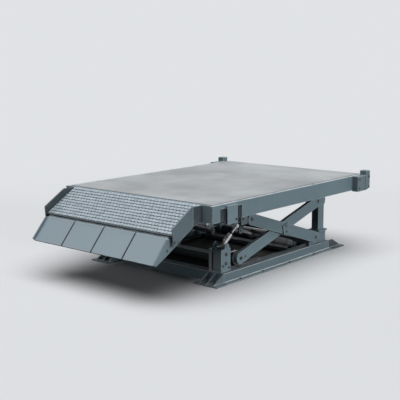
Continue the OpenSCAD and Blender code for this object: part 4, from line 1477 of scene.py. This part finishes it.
@dataclass
class Cylinders:
    """A pair of cylinders with bands, ports and a rigid oil pipe from port to port, in millimetres."""

    shop: Paintshop
    name: str
    body: Body
    coat: Coat
    x: float
    foot: Pair
    head: Pair
    barrel_r: float
    bands: tuple[Band, ...]
    ports: Pair
    port_size: Pair
    pipe_r: float
    pipe_off: Pair
    pipe_bend: float
    band_gap: float = 0.1
    band_soft: float = 0.8
    port_sink: float = 1.0
    port_soft: float = 0.6
    foot_share: float = 0.6
    collar_step: float = 0.3

    @property
    def rake(self) -> Vector:
        """The direction from the foot to the head."""
        return Vector((0.0, self.head[0] - self.foot[0], self.head[1] - self.foot[1])).normalized()

    def out(self, side: int) -> Vector:
        """The direction in which the ports point: upwards and square to the rake, on both sides."""
        across = self.rake.cross(sideways(1))
        return across if across.z > 0 else -across

    def at(self, side: int, along: float, off: Vector = Vector((0.0, 0.0, 0.0))) -> Vector:
        """A point in metres on the right (1) or left (-1) cylinder, from millimetres along and off its axis."""
        return spot(side * self.x, *self.foot) + (self.rake * along + off) * MM

    def ring(self, side: int, band: Band, radius: float) -> Piece:
        """Models a ring round a barrel or a rod, with softened rims.

        Args:
            side: The right (1) or left (-1) cylinder.
            band: Its place and size.
            radius: The radius of what it goes round, in millimetres.

        Returns:
            The ring.
        """
        ring = Bench.ring("band", (radius + band.rise) * MM, (radius + self.band_gap) * MM, band.width * MM)
        Bench.soften(ring, self.band_soft * MM, segments=1)
        Bench.place(ring, self.at(side, band.along), self.rake)
        return ring

    def port(self, side: int, along: float) -> Piece:
        """Models a hexagon pipe fitting with a raised collar on a barrel.

        Args:
            side: The right (1) or left (-1) cylinder.
            along: Distance from its foot pin in millimetres.

        Returns:
            The fitting.
        """
        radius, height = (value * MM for value in self.port_size)
        out = self.out(side)
        port = Bench.round_bar("port", radius, self.foot_share * height, sides=6)
        with Bench.picked(port, Pick.FACES, looks_up):
            bpy.ops.mesh.inset(thickness=self.collar_step * radius)
            rise = (0, 0, (1 - self.foot_share) * height)
            bpy.ops.mesh.extrude_region_move(TRANSFORM_OT_translate={"value": rise})
        Bench.soften(port, self.port_soft * MM, segments=1)
        Bench.place(port, self.at(side, along, out * (self.barrel_r - self.port_sink)), out)
        return port

    def build(self) -> None:
        """Fits the bands, the ports and the pipes."""
        rings, pipes = [], []
        first, last = self.ports
        low, high = (self.barrel_r + off for off in self.pipe_off)
        for side in SIDES:
            rings += [self.ring(side, band, self.barrel_r) for band in self.bands]
            rings += [self.port(side, along) for along in self.ports]
            route = [self.at(side, along, self.out(side) * off)
                     for along, off in ((first, low), (first, high), (last, high), (last, low))]
            pipes.append(Bench.pipe("pipe", route, self.pipe_r * MM, self.pipe_bend * MM))
        self.shop.fit(self.name + "_bands", rings, self.body, self.coat)
        self.shop.fit(self.name + "_pipes", pipes, self.body, Coat.ZINC, smooth=40.0)


@dataclass
class FrontCylinders(Cylinders):
    """The front cylinders, which have glands and rod collars too."""

    name: str = "front_cylinder"
    body: Body = Body.FRONT_BARRELS
    coat: Coat = Coat.CHROME
    x: float = 748.0
    foot: Pair = (468.0, 358.0)
    head: Pair = (697.0, 532.0)
    barrel_r: float = 24.0
    bands: tuple[Band, ...] = (Band(92.0, 4.0, 11.0),)
    ports: Pair = (56.0, 148.0)
    port_size: Pair = (8.0, 12.0)
    pipe_r: float = 4.5
    pipe_off: Pair = (8.0, 16.0)
    pipe_bend: float = 7.0
    rod_r: float = 14.0
    gland: Band = Band(162.0, 3.0, 17.0)
    collar: Band = Band(239.0, 7.0, 20.0)

    def build(self) -> None:
        """Fits the glands and the collars, then what all cylinders have."""
        glands = [self.ring(side, self.gland, self.barrel_r) for side in SIDES]
        self.shop.fit("front_cylinder_glands", glands, self.body, Coat.RUBBER)
        collars = [self.ring(side, self.collar, self.rod_r) for side in SIDES]
        self.shop.fit("front_rod_collars", collars, Body.FRONT_RODS, Coat.BARREL)
        super().build()


@dataclass
class LiftCylinders(Cylinders):
    """The lift cylinders, whose ports are on the inner sides of the barrels."""

    name: str = "lift_cylinder"
    body: Body = Body.LIFT_BARRELS
    coat: Coat = Coat.DARK
    x: float = 620.0
    foot: Pair = (1930.25, 100.0)
    head: Pair = (891.55, 435.75)
    barrel_r: float = 42.0
    bands: tuple[Band, ...] = (Band(140.0, 5.0, 20.0), Band(470.0, 5.0, 20.0))
    ports: Pair = (110.0, 815.0)
    port_size: Pair = (13.0, 22.0)
    pipe_r: float = 6.0
    pipe_off: Pair = (18.0, 30.0)
    pipe_bend: float = 10.0

    def out(self, side: int) -> Vector:
        """The direction in which the ports point: inwards."""
        return sideways(-side)


@dataclass(frozen=True)
class Lamp:
    """A broad soft lamp, far away: where it shines from, its level and how wide it looks."""

    name: str
    from_side: Point
    level: float
    width: float

    def build(self) -> None:
        """Hangs the lamp."""
        data = bpy.data.lights.new(self.name, "SUN")
        data.energy = self.level * math.pi
        data.angle = math.radians(self.width)
        lamp = bpy.data.objects.new(self.name, data)
        bpy.context.scene.collection.objects.link(lamp)
        lamp.matrix_world = Vector(self.from_side).to_track_quat("Z", "Y").to_matrix().to_4x4()


LAMPS = (
    Lamp("overhead_softbox", (0.06, -0.06, 0.996), 0.985, 78.0),
    Lamp("right_softbox", (0.99, 0.08, 0.07), 0.50, 12.0),
    Lamp("front_fill", (-0.10, -0.99, 0.02), 0.11, 20.0),
    Lamp("left_fill", (-0.97, 0.22, 0.06), 0.14, 24.0),
)


@dataclass
class Studio:
    """The plain floor, the soft light and the camera at the photograph's angle."""

    eye: Point = (5.7269, -5.7079, 2.2016)
    yaw: float = math.radians(40.499)
    pitch: float = math.radians(9.797)
    roll: float = math.radians(-0.281)
    lens: float = 71.95
    sensor: float = 36.0
    floor: Colour = (0.693, 0.707, 0.728)
    floor_rough: float = 0.9
    floor_size: float = 400.0
    backdrop: Colour = (0.750, 0.765, 0.787)
    bounce: Colour = (0.03, 0.0306, 0.0318)
    surround: Colour = (0.010, 0.0102, 0.0106)
    fade: Pair = (3.5, 9.0)

    def build_camera(self) -> None:
        """Sets the camera at the angle and distance of the photograph."""
        cy, sy = math.cos(self.yaw), math.sin(self.yaw)
        cp, sp = math.cos(self.pitch), math.sin(self.pitch)
        ahead = Vector((-sy * cp, cy * cp, -sp))
        right = Vector((cy, sy, 0.0))
        upward = right.cross(ahead)
        cr, sr = math.cos(self.roll), math.sin(self.roll)
        right, upward = cr * right + sr * upward, cr * upward - sr * right
        data = bpy.data.cameras.new("photo_camera")
        data.sensor_width = self.sensor
        data.lens = self.lens
        camera = bpy.data.objects.new("photo_camera", data)
        bpy.context.scene.collection.objects.link(camera)
        turn = Matrix((right, upward, -ahead)).transposed().to_4x4()
        where = Vector(self.eye) + Vector((0.0, DECK_FRONT, 0.0))
        camera.matrix_world = Matrix.Translation(where) @ turn
        bpy.context.scene.camera = camera

    @staticmethod
    def _seen(graph: Graph) -> Socket:
        """Tells rays that show the background from rays that light the object.

        Args:
            graph: The graph to work in.

        Returns:
            1 for the former and 0 for the latter.
        """
        path = graph.add("LightPath")
        shiny = graph.math("MAXIMUM", path.outputs["Is Glossy Ray"], path.outputs["Is Transmission Ray"])
        return graph.math("MAXIMUM", path.outputs["Is Camera Ray"], shiny)

    def build_floor(self) -> None:
        """Lays a wide floor that fades into the backdrop's colour away from the object."""
        Bench.clear()
        bpy.ops.mesh.primitive_plane_add(size=self.floor_size)
        floor = bpy.context.object
        floor.name = "studio_floor"
        draft = Draft("studio_floor")
        graph = draft.graph
        reach = graph.add("VectorMath", operation="LENGTH")
        graph.join(draft.where, reach.inputs[0])
        away = graph.add("MapRange", interpolation_type="SMOOTHSTEP")
        away.inputs["From Min"].default_value, away.inputs["From Max"].default_value = self.fade
        graph.join(reach.outputs["Value"], away.inputs["Value"])
        seen = self._seen(graph)
        draft.shade(Base_Color=graph.mix(seen, self.bounce, self.floor), Roughness=self.floor_rough,
                    Specular_IOR_Level=0.0)
        far = graph.add("Emission")
        graph.join(graph.mix(seen, self.surround, self.backdrop), far.inputs["Color"])
        both = graph.add("MixShader")
        for source, target in zip((away.outputs["Result"], draft.shader.outputs[0], far.outputs[0]), both.inputs):
            graph.join(source, target)
        graph.join(both.outputs[0], graph.tree.nodes["Material Output"].inputs["Surface"])
        floor.data.materials.append(draft.material)

    def build_light(self) -> None:
        """Hangs the lamps and sets an even surround, with a plain level for a pale backdrop."""
        world = bpy.data.worlds.new("studio_world")
        bpy.context.scene.world = world
        world.use_nodes = True
        graph = Graph(world.node_tree)
        sky = world.node_tree.nodes["Background"]
        graph.join(graph.mix(self._seen(graph), self.surround, self.backdrop), sky.inputs["Color"])
        for lamp in LAMPS:
            lamp.build()
        bpy.context.scene.view_settings.view_transform = "Standard"


def main() -> None:
    """Builds the studio and dresses the dock leveler, sub-assembly by sub-assembly."""
    logging.basicConfig(level=logging.INFO, format="%(message)s")
    studio = Studio()
    studio.build_camera()
    shop = Paintshop()
    shop.paint_solids()
    bolts = Fasteners(shop)
    welder = Welder(shop)
    Ramp(shop, bolts).build()
    Lip(shop, bolts).build()
    DeckFrame(shop, bolts, welder).build()
    BaseFrame(shop, bolts, welder).build()
    Scissor(bolts).build()
    FrontCylinders(shop).build()
    LiftCylinders(shop).build()
    bolts.put_away()
    studio.build_floor()
    studio.build_light()


if __name__ == "__main__":
    main()
